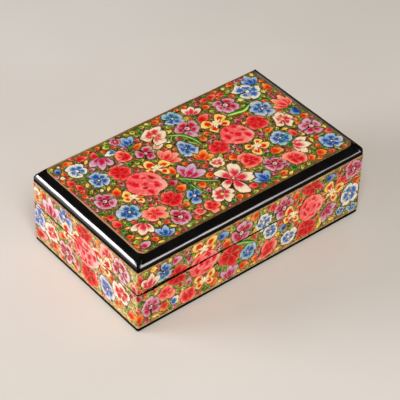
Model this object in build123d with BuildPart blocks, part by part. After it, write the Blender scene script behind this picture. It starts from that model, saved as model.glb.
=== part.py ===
"""Kashmiri papier mache box with a lift-off lid.

The frame has its origin at the centre of the underside, +X along the long side, -Y to the
front and +Z up. All sizes are in millimetres.

The box is built of flat boards: a bottom board, a top board with a bevelled and rounded rim,
and mitred side walls. The walls are parted at the seam, so that the upper ones belong to the
lid. A collar of four thin strips lines the base, stands above the seam and guides the lid.
"""

import os

from build123d import *

# Outside of the closed box
length = 152.0  # along X
width = 89.0  # along Y
height = 48.0  # along Z
corner_radius = 0.8  # of the upright corners

# Boards
wall = 3.2  # thickness of the base's side walls
bottom_board = 2.4  # its edge shows as the black band at the foot
top_board = 7.3  # its edge shows as the black rim of the lid
foot_ease = 0.6  # chamfer round the underside

# Rim of the top board
rim_bevel_ends = 4.4  # width of the sloping border at the left and right ends
rim_bevel_sides = 3.0  # width of the sloping border along the front and back
rim_bevel_drop = 2.6  # from the flat panel down to the shoulder
rim_round = 1.8  # radius of the shoulder

# Seam between the base and the lid
seam_height = 25.8  # above the underside
seam_ease = 0.35  # chamfer on both lips of the seam

# Collar inside the base
collar_thickness = 1.5
collar_rise = 5.5  # above the seam, into the lid
collar_lead = 0.6  # chamfer that leads the lid onto the collar
lid_clearance = 0.3  # between the collar and the lid's walls

# Sizes that follow from the ones above
lid_wall = wall - lid_clearance
lid_wall_top = height - top_board
collar_length = length - 2 * wall
collar_width = width - 2 * wall
collar_top = seam_height + collar_rise
shoulder_height = height - rim_bevel_drop


def save(piece, name):
    """Label a finished piece and write it to its own file."""
    piece.part.label = name
    export_step(piece.part, f"parts/{name}.step")


def mitre_outlines(outline_length, outline_width):
    """The four areas that 45 degree cuts from the corners of a rectangle leave, by side."""
    x = outline_length / 2
    y = outline_width / 2
    reach = min(x, y)
    ridge_x = x - reach
    ridge_y = y - reach
    return {
        "front": [(-x, -y), (x, -y), (ridge_x, -ridge_y), (-ridge_x, -ridge_y)],
        "right": [(x, -y), (x, y), (ridge_x, ridge_y), (ridge_x, -ridge_y)],
        "back": [(x, y), (-x, y), (-ridge_x, ridge_y), (ridge_x, ridge_y)],
        "left": [(-x, y), (-x, -y), (-ridge_x, -ridge_y), (-ridge_x, ridge_y)],
    }


def save_mitred_sides(ring, outline_length, outline_width, name):
    """Cut a rectangular ring into its four sides at the mitres, and save each one."""
    for side, outline in mitre_outlines(outline_length, outline_width).items():
        corners = list(dict.fromkeys(outline))
        with BuildPart() as piece:
            add(ring.part)
            with BuildSketch():
                Polygon(*corners, align=None)
            extrude(amount=height, mode=Mode.INTERSECT)
        save(piece, f"{name}_{side}")


os.makedirs("parts", exist_ok=True)

# Bottom board, which the walls stand on
with BuildPart() as base_panel:
    with BuildSketch():
        RectangleRounded(length, width, corner_radius)
    extrude(amount=bottom_board)
    chamfer(base_panel.faces().sort_by(Axis.Z)[0].edges(), foot_ease)
save(base_panel, "base_panel")

# Side walls of the base, from the bottom board up to the seam
with BuildPart() as base_walls:
    with BuildSketch(Plane.XY.offset(bottom_board)):
        RectangleRounded(length, width, corner_radius)
        Rectangle(length - 2 * wall, width - 2 * wall, mode=Mode.SUBTRACT)
    extrude(amount=seam_height - bottom_board)
    chamfer(base_walls.faces().sort_by(Axis.Z)[-1].outer_wire().edges(), seam_ease)
save_mitred_sides(base_walls, length, width, "base_wall")

# Collar strips, which line the base walls and stand above the seam
with BuildPart() as collar:
    with BuildSketch(Plane.XY.offset(bottom_board)):
        Rectangle(collar_length, collar_width)
        Rectangle(
            collar_length - 2 * collar_thickness,
            collar_width - 2 * collar_thickness,
            mode=Mode.SUBTRACT,
        )
    extrude(amount=collar_top - bottom_board)
    chamfer(collar.faces().sort_by(Axis.Z)[-1].outer_wire().edges(), collar_lead)
save_mitred_sides(collar, collar_length, collar_width, "collar")

# Side walls of the lid, from the seam up to the top board
with BuildPart() as lid_walls:
    with BuildSketch(Plane.XY.offset(seam_height)):
        RectangleRounded(length, width, corner_radius)
        Rectangle(length - 2 * lid_wall, width - 2 * lid_wall, mode=Mode.SUBTRACT)
    extrude(amount=lid_wall_top - seam_height)
    chamfer(lid_walls.faces().sort_by(Axis.Z)[0].outer_wire().edges(), seam_ease)
save_mitred_sides(lid_walls, length, width, "lid_wall")


def rim_section(half_span, bevel):
    """Section of the top board across one direction: flat, sloping borders, round shoulders."""
    with BuildSketch() as section:
        with BuildLine():
            FilletPolyline(
                (half_span, lid_wall_top),
                (half_span, shoulder_height),
                (half_span - bevel, height),
                radius=rim_round,
            )
            Polyline((half_span - bevel, height), (0, height), (0, lid_wall_top), (half_span, lid_wall_top))
        make_face()
        mirror(about=Plane.YZ)
    return section.sketch


# Top board: its plan crossed with its two sections gives the mitred border
with BuildPart() as lid_panel:
    with BuildSketch(Plane.XY.offset(lid_wall_top)):
        RectangleRounded(length, width, corner_radius)
    extrude(amount=top_board)
    with BuildSketch(Plane.XZ):
        add(rim_section(length / 2, rim_bevel_ends))
    extrude(amount=width / 2, both=True, mode=Mode.INTERSECT)
    with BuildSketch(Plane.YZ):
        add(rim_section(width / 2, rim_bevel_sides))
    extrude(amount=length / 2, both=True, mode=Mode.INTERSECT)
save(lid_panel, "lid_panel")
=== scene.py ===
"""Kashmiri papier mache box: black lacquered boards, a painted panel on the lid and painted walls.

Every motif is laid on flat charts in millimetres, petal by petal, and the charts are then put on the
lid and wrapped round the walls. A petal is a thin raised patch of paint with its own brush strokes.
"""

import math
import random
from functools import partial, reduce

import bmesh
import bpy
import numpy as np
from mathutils import Matrix, Vector


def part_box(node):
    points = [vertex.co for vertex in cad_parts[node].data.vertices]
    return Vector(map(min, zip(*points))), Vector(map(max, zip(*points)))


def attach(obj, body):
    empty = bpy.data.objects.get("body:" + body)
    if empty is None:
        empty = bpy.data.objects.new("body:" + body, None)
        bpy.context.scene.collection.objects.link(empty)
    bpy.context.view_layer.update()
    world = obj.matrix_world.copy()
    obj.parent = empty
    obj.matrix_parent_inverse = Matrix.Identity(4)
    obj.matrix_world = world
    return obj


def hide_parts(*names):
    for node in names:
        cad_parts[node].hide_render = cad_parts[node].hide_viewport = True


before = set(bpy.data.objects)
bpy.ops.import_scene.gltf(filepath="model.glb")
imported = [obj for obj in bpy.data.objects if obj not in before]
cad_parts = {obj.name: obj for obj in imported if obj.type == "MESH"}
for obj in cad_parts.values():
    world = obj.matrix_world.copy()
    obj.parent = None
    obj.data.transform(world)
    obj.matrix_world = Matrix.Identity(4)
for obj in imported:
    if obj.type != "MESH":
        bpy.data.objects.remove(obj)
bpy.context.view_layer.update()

MM = 0.001


# ---------------------------------------------------------------- sizes, in mm, from the frame

def node_box(node):
    low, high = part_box(node)
    return np.array(low) / MM, np.array(high) / MM


HALF_LENGTH, HALF_WIDTH, TOP = (float(size) for size in node_box("lid_panel")[1])
WALL_LOW, SEAM = (float(corner[2]) for corner in node_box("base_wall_front"))
WALL_HIGH = float(node_box("lid_wall_front")[1][2])
# The radius of the painted corners and of the lid board's upright edges.
CORNER = 0.8
# The walls' paint falls back from this far above and below the seam, and stops just short of it.
SEAM_EASE = 0.35
SEAM_GAP = 0.06

# The lid's painted panel, out to the outer edge of its gold line.
PANEL_HALF_LENGTH, PANEL_HALF_WIDTH = 71.2, 41.1
PANEL_LOW = (-PANEL_HALF_LENGTH, -PANEL_HALF_WIDTH)
PANEL_HIGH = (PANEL_HALF_LENGTH, PANEL_HALF_WIDTH)
PANEL_CORNER = 3.4
LINE_HALF = 0.42

# The walls are one strip: it runs from the back left corner along the left, front, right and back.
LENGTH = 2 * HALF_LENGTH
WIDTH = 2 * HALF_WIDTH
PERIMETER = 2 * (LENGTH + WIDTH)
WALLS = {
    "left": (0, WIDTH),
    "front": (WIDTH, WIDTH + LENGTH),
    "right": (WIDTH + LENGTH, 2 * WIDTH + LENGTH),
    "back": (2 * WIDTH + LENGTH, PERIMETER),
}


def middle(wall):
    return sum(WALLS[wall]) / 2


# ---------------------------------------------------------------- colours and shaders

def srgb(red, green, blue, alpha=1.0):
    """Screen colour, 0 to 255, as the linear colour that nodes take."""
    shares = [c / 255 for c in (red, green, blue)]
    linear = [c / 12.92 if c <= 0.04045 else ((c + 0.055) / 1.055) ** 2.4 for c in shares]
    return (*linear, alpha)


class Shader:
    """A Principled material whose nodes are added one at a time."""

    def __init__(self, name, **constants):
        self.material = bpy.data.materials.new(name)
        self.material.use_nodes = True
        self.tree = self.material.node_tree
        self.surface = self.tree.nodes["Principled BSDF"]
        for socket, value in constants.items():
            self.surface.inputs[socket.replace("_", " ")].default_value = value

    def feed(self, socket, value):
        if isinstance(value, bpy.types.NodeSocket):
            self.tree.links.new(value, socket)
        else:
            socket.default_value = value

    def node(self, kind, inputs=None, **settings):
        made = self.tree.nodes.new(kind)
        for setting, value in settings.items():
            setattr(made, setting, value)
        for socket, value in (inputs or {}).items():
            self.feed(made.inputs[socket], value)
        return made

    def math(self, operation, a, b=0.0):
        return self.node("ShaderNodeMath", {0: a, 1: b}, operation=operation).outputs[0]

    def plus(self, *values):
        return reduce(partial(self.math, "ADD"), values)

    def times(self, *values):
        return reduce(partial(self.math, "MULTIPLY"), values)

    def minus(self, a, b):
        return self.math("SUBTRACT", a, b)

    def largest(self, *values):
        return reduce(partial(self.math, "MAXIMUM"), values)

    def absolute(self, value):
        return self.math("ABSOLUTE", value)

    def about_half(self, value, size):
        """A value from 0 to 1 turned into one that swings about 0."""
        return self.times(self.minus(value, 0.5), size)

    def outside(self, half_length, half_width):
        """How far a place lies outside a rectangle round the box's middle. It is negative inside."""
        x, y, _ = self.split(self.place())
        return self.largest(
            self.minus(self.absolute(x), half_length),
            self.minus(self.absolute(y), half_width),
        )

    def step(self, value, low, high, to_low=0.0, to_high=1.0):
        """A smooth change from to_low to to_high as value goes from low to high."""
        inputs = {"Value": value, "From Min": low, "From Max": high, "To Min": to_low, "To Max": to_high}
        return self.node("ShaderNodeMapRange", inputs, interpolation_type="SMOOTHSTEP").outputs[0]

    def mix(self, factor, a, b, blend="MIX"):
        made = self.node("ShaderNodeMix", data_type="RGBA", blend_type=blend)
        for socket, value in zip((0, 6, 7), (factor, a, b)):
            self.feed(made.inputs[socket], value)
        return made.outputs[2]

    def noise(self, vector, scale, detail=2.0, roughness=0.5):
        inputs = {"Vector": vector, "Scale": scale, "Detail": detail, "Roughness": roughness}
        return self.node("ShaderNodeTexNoise", inputs).outputs[0]

    def strokes(self, across, along, scale, seed):
        """Noise that runs out from a petal's heart, as brush strokes do."""
        return self.noise(self.join(self.times(across, scale), self.times(along, scale), seed), 1.0)

    def place(self):
        """Object coordinates in millimetres."""
        where = self.node("ShaderNodeTexCoord").outputs["Object"]
        to_mm = {0: where, 1: (1000, 1000, 1000)}
        return self.node("ShaderNodeVectorMath", to_mm, operation="MULTIPLY").outputs[0]

    def split(self, vector):
        return self.node("ShaderNodeSeparateXYZ", {0: vector}).outputs

    def join(self, x, y, z):
        return self.node("ShaderNodeCombineXYZ", {0: x, 1: y, 2: z}).outputs[0]

    def attribute(self, name):
        return self.node("ShaderNodeAttribute", attribute_name=name).outputs

    def left_glare_share(self, share):
        """share on the outside of the left wall, where the window's glare is painted, and 0 elsewhere."""
        x = self.split(self.place())[0]
        return self.step(x, -HALF_LENGTH + 0.5, -HALF_LENGTH + 0.2, 0.0, share)

    def set(self, socket, value):
        self.feed(self.surface.inputs[socket], value)

    def recolour(self, share, colour):
        """Mixes a colour over whatever colour the surface has so far."""
        so_far = self.surface.inputs["Base Color"].links[0].from_socket
        self.set("Base Color", self.mix(share, so_far, colour))

    def bump(self, height, distance_mm, strength=1.0):
        inputs = {"Height": height, "Distance": distance_mm * MM, "Strength": strength}
        self.set("Normal", self.node("ShaderNodeBump", inputs).outputs[0])


# How strongly a petal's core colour keeps to its foot.
FOOT_PULL = 1.05

# Painted glare of the window on the left wall: how much paler its paint is, for a petal's rim, cool core,
# warm core and line, and the ground.
LEFT_GLARE_RIM = 0.38
LEFT_GLARE_COOL = 0.2
LEFT_GLARE_WARM = 0.8
LEFT_GLARE_LINE = 0.3
LEFT_GLARE_GROUND = 0.5


def with_painted_left_glare(shader, rim, core):
    """Rim and core colours with the window's glare painted on the left wall: paler there, warm cores deeper.
    Rims with hardly any blue, such as orange, stay.
    """
    share = shader.times(shader.left_glare_share(LEFT_GLARE_RIM), shader.step(shader.split(rim)[2], 0.02, 0.07))
    red, green, blue = shader.split(core)
    bluish = shader.step(shader.minus(blue, green), 0.0, 0.1)
    cool_glare_colour = shader.mix(bluish, srgb(190, 196, 84), srgb(150, 176, 226))
    cool = shader.mix(shader.left_glare_share(LEFT_GLARE_COOL), core, cool_glare_colour)
    warm = shader.mix(shader.left_glare_share(LEFT_GLARE_WARM), core, srgb(232, 168, 170), "MULTIPLY")
    warmth = shader.step(shader.minus(red, blue), 0.1, 0.4)
    return shader.mix(share, rim, srgb(255, 226, 222)), shader.mix(warmth, cool, warm)


def brushed_paint(name, gloss):
    """Petal paint: the core colour runs out of the foot in strokes to a pale tip, inside a thin line."""
    shader = Shader(name, Coat_Weight=gloss, Coat_Roughness=0.1, Specular_IOR_Level=gloss)
    rim, core, line = (shader.attribute(key) for key in ("rim", "core", "line"))
    across, along, depth = shader.split(shader.attribute("brush")["Vector"])
    low, high, streak = shader.split(shader.attribute("spread")["Vector"])
    seed = shader.times(core["Alpha"], 40)
    from_tip = line["Alpha"]
    # Rim and core with the window's glare painted on the left wall.
    rim_with_glare, core_with_glare = with_painted_left_glare(shader, rim["Color"], core["Color"])

    broad = shader.strokes(across, along, 2.8, seed)
    fine = shader.strokes(across, along, 6.0, seed)
    own = shader.about_half(core["Alpha"], 0.22)
    sway = shader.about_half(broad, shader.times(streak, 1.7))
    stroked = shader.plus(depth, own, sway, shader.about_half(from_tip, FOOT_PULL))
    inked = shader.mix(shader.step(stroked, low, high), rim_with_glare, core_with_glare)
    deep = shader.mix(shader.step(stroked, 0.9, 1.5, 0.0, 0.45), inked, line["Color"])
    lighter = shader.mix(0.5, rim_with_glare, srgb(255, 246, 224))
    tip = shader.times(shader.step(from_tip, 0.34, 0.04), streak, 0.95)
    tipped = shader.mix(tip, deep, lighter)

    hair = shader.times(shader.step(fine, 0.54, 0.68), shader.step(depth, 0.7, 0.3))
    # More light hair strokes on the left wall: painted glare.
    hair_share = shader.plus(shader.times(streak, 0.6), shader.left_glare_share(0.3))
    haired = shader.mix(shader.times(hair, hair_share), tipped, lighter)
    thick = shader.times(rim["Alpha"], shader.step(broad, 0.38, 0.62, 0.55, 1.7))
    ragged = shader.plus(depth, shader.about_half(fine, 0.08))
    inside = shader.step(ragged, shader.times(thick, 0.4), thick)
    # Lines are paler on the left wall: painted glare.
    edge = shader.mix(shader.left_glare_share(LEFT_GLARE_LINE), line["Color"], srgb(196, 112, 60))
    lined = shader.mix(inside, edge, haired)

    where = shader.place()
    mottle = shader.noise(where, 0.5, 3.0)
    grime = shader.step(mottle, 0.4, 0.72, 0.0, 0.2)
    shader.set("Base Color", shader.mix(grime, lined, srgb(150, 84, 44), "MULTIPLY"))
    shader.set("Roughness", shader.step(mottle, 0.3, 0.7, 0.34, 0.5))
    shader.bump(shader.plus(fine, shader.noise(where, 2.2)), 0.018)
    return shader.material


def gold_ground(name, light, dark, fleck, specks=0.0, gloss=0.1):
    """Painted ground: light and dark clouds, brush flecks and, where specks isn't 0, small dark dabs."""
    shader = Shader(name, Coat_Weight=gloss, Coat_Roughness=0.1, Specular_IOR_Level=gloss)
    where = shader.place()
    cloud = shader.noise(where, 0.3, 4.0, 0.65)
    flecks = shader.noise(where, 1.5, 2.0, 0.75)
    blend = shader.step(shader.plus(cloud, shader.times(flecks, 0.6)), 0.66, 0.96)
    mossy = shader.step(shader.noise(where, 0.55, 2.0), 0.54, 0.64, 0.0, 0.4)
    body = shader.mix(mossy, shader.mix(blend, light, dark), srgb(104, 108, 40))
    dabs = shader.node("ShaderNodeTexVoronoi", {"Vector": where, "Scale": 0.8, "Randomness": 1.0})
    spotted = shader.mix(shader.step(dabs.outputs["Distance"], 0.38, 0.24, 0.0, specks), body, fleck)
    speckle = shader.noise(where, 1.15, 1.0)
    glimmer = shader.mix(0.4, light, srgb(232, 206, 112))
    glinting = shader.mix(shader.step(speckle, 0.58, 0.66, 0.0, 0.75 * specks), spotted, glimmer)
    pits = shader.step(speckle, 0.42, 0.35, 0.0, 0.9 * specks)
    shader.set("Base Color", shader.mix(pits, glinting, fleck))
    shader.set("Roughness", shader.step(flecks, 0.3, 0.7, 0.36, 0.55))
    shader.bump(flecks, 0.02)
    return shader


# The gloss begins at this height, about where the upright edge of the lid's board ends. The pairs are
# where a fade of the gloss starts and ends: which way a surface faces, then heights and places in mm.
GLOSS_FROM = 43.0
FACING = (-0.25, -0.4)
FRONT_GLOSS_TOP = (44.75, 44.5)
FRONT_GLOSS_RIGHT = (75.2, 73.6)
FRONT_GLOSS_LEFT = (-74.9, -74.1)
LEFT_GLOSS_TOP = (46.3, 45.7)
LEFT_GLOSS_TAPER = (-36.5, -44.5)


def board_gloss(shader, x, y, z, faces_x, faces_y, from_corner):
    """The gloss of the lid's board: bright low on its front and left slopes and faint elsewhere."""
    front = shader.times(
        shader.step(faces_y, *FACING),
        shader.step(z, *FRONT_GLOSS_TOP),
        shader.step(x, *FRONT_GLOSS_RIGHT),
        shader.step(x, *FRONT_GLOSS_LEFT),
        shader.step(x, -50.0, 60.0, 0.85, 0.5),
    )
    tapered = shader.plus(z, shader.step(y, *LEFT_GLOSS_TAPER, 0.0, 1.8))
    left = shader.times(
        shader.step(faces_x, *FACING),
        shader.step(tapered, *LEFT_GLOSS_TOP),
        shader.step(y, -40.0, 0.0, 0.85, 1.25),
    )
    elsewhere = shader.step(from_corner, 3.5, 7.0, 0.02, 0.15)
    return shader.largest(front, left, elsewhere)


def black_lacquer():
    """Black varnish: glossy on the lid's front and left slopes, less so and paler inside, else dull."""
    shader = Shader("black_lacquer", Coat_Roughness=0.07, Coat_IOR=1.6, Specular_IOR_Level=0.0)
    where = shader.place()
    x, y, z = shader.split(where)
    faces_x, faces_y, _ = shader.split(shader.node("ShaderNodeNewGeometry").outputs["Normal"])
    cloud = shader.noise(where, 0.16, 3.0)
    dust = shader.step(shader.noise(where, 1.9, 3.0, 0.65), 0.62, 0.8)
    body = shader.mix(shader.step(cloud, 0.35, 0.75), srgb(9, 8, 8), srgb(17, 14, 11))
    dusty = shader.mix(shader.times(dust, 0.3), body, srgb(74, 54, 40))
    from_end = shader.minus(HALF_LENGTH, shader.absolute(x))
    from_side = shader.minus(HALF_WIDTH, shader.absolute(y))
    on_slope = shader.step(z, GLOSS_FROM - 0.3, GLOSS_FROM + 0.2)
    slopes = board_gloss(shader, x, y, z, faces_x, faces_y, shader.largest(from_end, from_side))
    from_edge = shader.math("MINIMUM", from_end, from_side)
    inside = shader.times(shader.step(from_edge, 0.8, 1.4), shader.minus(1.0, on_slope))
    gloss = shader.largest(shader.times(on_slope, slopes), shader.step(inside, 0.0, 1.0, 0.07, 0.5))
    askew = shader.math("MINIMUM", shader.absolute(faces_x), shader.absolute(faces_y))
    shader.set("Coat Weight", shader.times(gloss, shader.step(askew, 0.22, 0.06)))
    pale = shader.mix(dust, srgb(38, 33, 30), srgb(60, 49, 42))
    shader.set("Base Color", shader.mix(inside, dusty, pale))
    shader.set("Roughness", shader.step(cloud, 0.3, 0.7, 0.3, 0.5))
    shader.bump(shader.noise(where, 0.11, 2.0), 0.16)
    return shader.material


def painted_wall():
    """A wall board: gold ground on its outer face, paler on the left wall as painted glare, black inside and
    on its edges.
    """
    shader = gold_ground("painted_wall", srgb(224, 174, 94), srgb(124, 88, 38), srgb(52, 30, 12), 0.95)
    skin = 0.25
    out = shader.outside(HALF_LENGTH - skin, HALF_WIDTH - skin)
    # Painted glare: the ground is paler on the left wall.
    shader.recolour(shader.left_glare_share(LEFT_GLARE_GROUND), srgb(238, 208, 138))
    shader.recolour(shader.step(out, 0.1, 0.0), srgb(16, 13, 12))
    return shader.material


# The lid's paint is nearly matt, or it would glare from low down.
TOP_GLOSS = 0.035


def lid_ground():
    """The lid's ground: dark olive brown, a little more golden in a narrow margin beside the gold line."""
    shader = gold_ground("top_ground", srgb(146, 106, 50), srgb(82, 58, 26), srgb(34, 22, 10), 0.8, TOP_GLOSS)
    out = shader.outside(PANEL_HALF_LENGTH, PANEL_HALF_WIDTH)
    shader.recolour(shader.step(out, -3.0, -1.2, 0.0, 0.6), srgb(116, 82, 42))
    return shader.material


def top_line_gold_with_sheen():
    """The lid's gold line: dull gold, with a painted sheen, bright along the left end and less so at the back
    left.
    """
    shader = gold_ground("top_line", srgb(126, 96, 56), srgb(88, 62, 36), srgb(60, 40, 22), 0.4)
    x, y, _ = shader.split(shader.place())
    # Painted sheen of the window light along the left end and, weaker, at the back left.
    shader.recolour(shader.step(x, -66.0, -70.6, 0.0, 0.85), srgb(186, 146, 106))
    back_left_sheen = shader.times(shader.step(x, 10.0, -60.0, 0.0, 0.6), shader.step(y, 38.0, 40.0))
    shader.recolour(back_left_sheen, srgb(176, 136, 84))
    return shader.material


WALL_PAINT = brushed_paint("wall_paint", 0.1)
TOP_PAINT = brushed_paint("top_paint", TOP_GLOSS)
GOLD = gold_ground("gold_line", srgb(204, 164, 112), srgb(136, 98, 58), srgb(96, 60, 30), 0.3).material
# Painted shade: a dark sheet along the seam where its gap lies in shade.
PAINTED_SEAM_SHADE = gold_ground("painted_seam_shade", srgb(18, 11, 9), srgb(8, 6, 5), srgb(6, 5, 4), gloss=0.0).material
# A pale line below the seam: worn lips, and a painted highlight where the base's edge catches the light.
WORN_LIP_AND_HIGHLIGHT = gold_ground("worn_lip_and_highlight", srgb(222, 182, 140), srgb(150, 104, 66), srgb(96, 56, 34), 0.5).material
LACQUER = black_lacquer()


# ---------------------------------------------------------------- paint palette

def paint(rim, core, line, low, high, streak, edge):
    return {
        "rim": srgb(*rim, edge),
        "core": srgb(*core),
        "line": srgb(*line),
        "spread": (low, high, streak),
    }


PAINTS = {
    "rose_disc": paint((255, 132, 116), (248, 96, 92), (132, 40, 26), 0.06, 0.5, 0.5, 0.035),
    "rose_middle": paint((250, 102, 96), (240, 58, 68), (250, 100, 94), 0.0, 0.7, 0.5, 0.02),
    "rose": paint((244, 74, 74), (226, 12, 42), (242, 70, 72), -0.3, 0.3, 0.4, 0.02),
    "rose_deep": paint((226, 58, 58), (170, 12, 26), (232, 66, 64), -0.3, 0.3, 0.4, 0.02),
    "rose_light": paint((252, 112, 104), (255, 150, 138), (250, 106, 98), 0.0, 0.6, 0.2, 0.02),
    "red": paint((238, 52, 46), (206, 10, 26), (148, 10, 18), 0.06, 0.9, 0.35, 0.06),
    "red_lined": paint((228, 22, 26), (180, 2, 16), (242, 132, 82), 0.1, 0.9, 0.15, 0.08),
    "coral": paint((250, 98, 78), (218, 12, 26), (140, 20, 22), 0.1, 0.68, 0.6, 0.07),
    "coral_pale": paint((255, 138, 112), (232, 34, 44), (150, 34, 28), 0.2, 0.86, 0.6, 0.07),
    "mauve": paint((208, 141, 159), (194, 16, 50), (96, 30, 44), 0.16, 0.74, 0.45, 0.11),
    "mauve_pale": paint((216, 167, 184), (204, 40, 76), (102, 40, 58), 0.24, 0.86, 0.45, 0.11),
    "mauve_heart": paint((236, 196, 184), (188, 60, 92), (120, 36, 52), 0.4, 0.9, 0.2, 0.1),
    "mauve_tulip": paint((208, 156, 182), (200, 22, 66), (96, 34, 66), 0.2, 0.72, 0.7, 0.1),
    "cream": paint((248, 226, 190), (226, 40, 66), (126, 60, 44), 0.1, 0.72, 0.6, 0.1),
    "cream_pale": paint((244, 222, 184), (228, 84, 86), (128, 66, 46), 0.26, 0.9, 0.6, 0.1),
    "yellow_red": paint((252, 212, 92), (224, 30, 20), (128, 60, 16), 0.2, 0.56, 0.5, 0.09),
    "yellow_heart": paint((254, 244, 206), (252, 226, 140), (200, 140, 66), 0.3, 1.0, 0.6, 0.1),
    "orange": paint((250, 150, 34), (228, 40, 16), (136, 42, 14), 0.16, 0.8, 0.6, 0.08),
    "orange_bud": paint((250, 140, 36), (226, 42, 20), (124, 40, 14), 0.08, 0.8, 0.5, 0.12),
    "coral_bud": paint((248, 96, 76), (214, 18, 30), (118, 20, 20), 0.14, 0.84, 0.5, 0.11),
    "crimson_bud": paint((214, 110, 126), (180, 12, 44), (90, 14, 30), 0.12, 0.7, 0.5, 0.13),
    "mauve_bud": paint((218, 164, 182), (192, 20, 62), (94, 30, 48), 0.16, 0.8, 0.5, 0.13),
    "cream_bud": paint((250, 236, 192), (240, 160, 124), (130, 84, 46), 0.44, 1.0, 0.6, 0.12),
    "blue": paint((176, 194, 204), (30, 82, 160), (24, 36, 66), 0.2, 0.82, 0.7, 0.12),
    "blue_mid": paint((146, 182, 210), (24, 76, 162), (20, 36, 72), 0.16, 0.8, 0.6, 0.12),
    "blue_bud": paint((124, 160, 198), (24, 60, 146), (18, 32, 70), 0.14, 0.8, 0.6, 0.12),
    "teal": paint((146, 186, 192), (14, 98, 150), (20, 48, 70), 0.16, 0.8, 0.7, 0.12),
    "cream_blue_bud": paint((250, 242, 212), (36, 104, 190), (74, 82, 92), 0.4, 0.8, 0.6, 0.12),
    "white_blue": paint((236, 230, 200), (42, 104, 188), (54, 66, 84), 0.2, 0.78, 0.6, 0.11),
    "white_heart": paint((248, 242, 218), (226, 200, 120), (80, 74, 62), 0.5, 1.0, 0.2, 0.12),
    "lime": paint((204, 210, 72), (72, 134, 32), (50, 58, 16), 0.26, 0.8, 0.5, 0.15),
    "lime_ball": paint((112, 158, 40), (232, 236, 138), (36, 56, 16), 0.3, 0.8, 0.4, 0.15),
    "green": paint((100, 170, 48), (16, 92, 34), (14, 42, 16), 0.15, 0.7, 0.5, 0.15),
    "dark_green": paint((66, 104, 38), (20, 58, 26), (16, 30, 12), 0.15, 0.6, 0.5, 0.14),
    "olive": paint((150, 130, 50), (90, 78, 24), (44, 34, 10), 0.2, 0.8, 0.5, 0.14),
    "yellow": paint((252, 230, 104), (236, 168, 40), (120, 78, 20), 0.4, 0.95, 0.5, 0.14),
    "cream_dot": paint((250, 238, 190), (236, 204, 116), (96, 70, 34), 0.4, 0.9, 0.3, 0.16),
    "vine": paint((136, 112, 42), (94, 80, 28), (44, 32, 12), 0.2, 0.7, 0.3, 0.16),
    "gold_stroke": paint((232, 188, 104), (190, 140, 66), (150, 100, 40), 0.2, 0.8, 0.3, 0.06),
    "shade": paint((84, 60, 24), (46, 30, 11), (92, 66, 28), 0.1, 0.6, 0.6, 0.02),
    "dark_stroke": paint((34, 20, 9), (22, 13, 6), (22, 14, 6), 0.2, 0.8, 0.3, 0.06),
    "leaf_stroke": paint((150, 172, 58), (66, 112, 32), (40, 54, 16), 0.2, 0.8, 0.3, 0.1),
    "blade": paint((26, 122, 48), (214, 232, 124), (12, 54, 24), 0.36, 0.84, 0.4, 0.1),
    "blade_pale": paint((38, 150, 38), (226, 240, 110), (22, 78, 22), 0.28, 0.76, 0.4, 0.1),
}

# A petal's outline is along**a * (1 - along)**b: low powers are blunt ends and high ones are points.
OVAL = (0.5, 0.5)
PETAL = (0.85, 0.45)
TULIP = (0.75, 0.7)
BUD = (0.5, 0.72)
ROSE_OUTLINE = (0.46, 0.56)
LEAF = (0.8, 0.95)


# ---------------------------------------------------------------- a chart of painted petals

# Where a blade's points lie across it. The doubled outer ones are the feet of its skirts.
BLADE_COLUMNS = np.array([-1, -1, -0.75, -0.35, 0, 0.35, 0.75, 1, 1.0])
# A petal narrower than this is drawn with few points. Others have more points the larger they are.
FINE_WIDTH = 0.6
FINE_POINTS = 8
POINTS_UP_TO = ((2.2, 10), (4.5, 14), (9, 20), (math.inf, 36))


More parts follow.
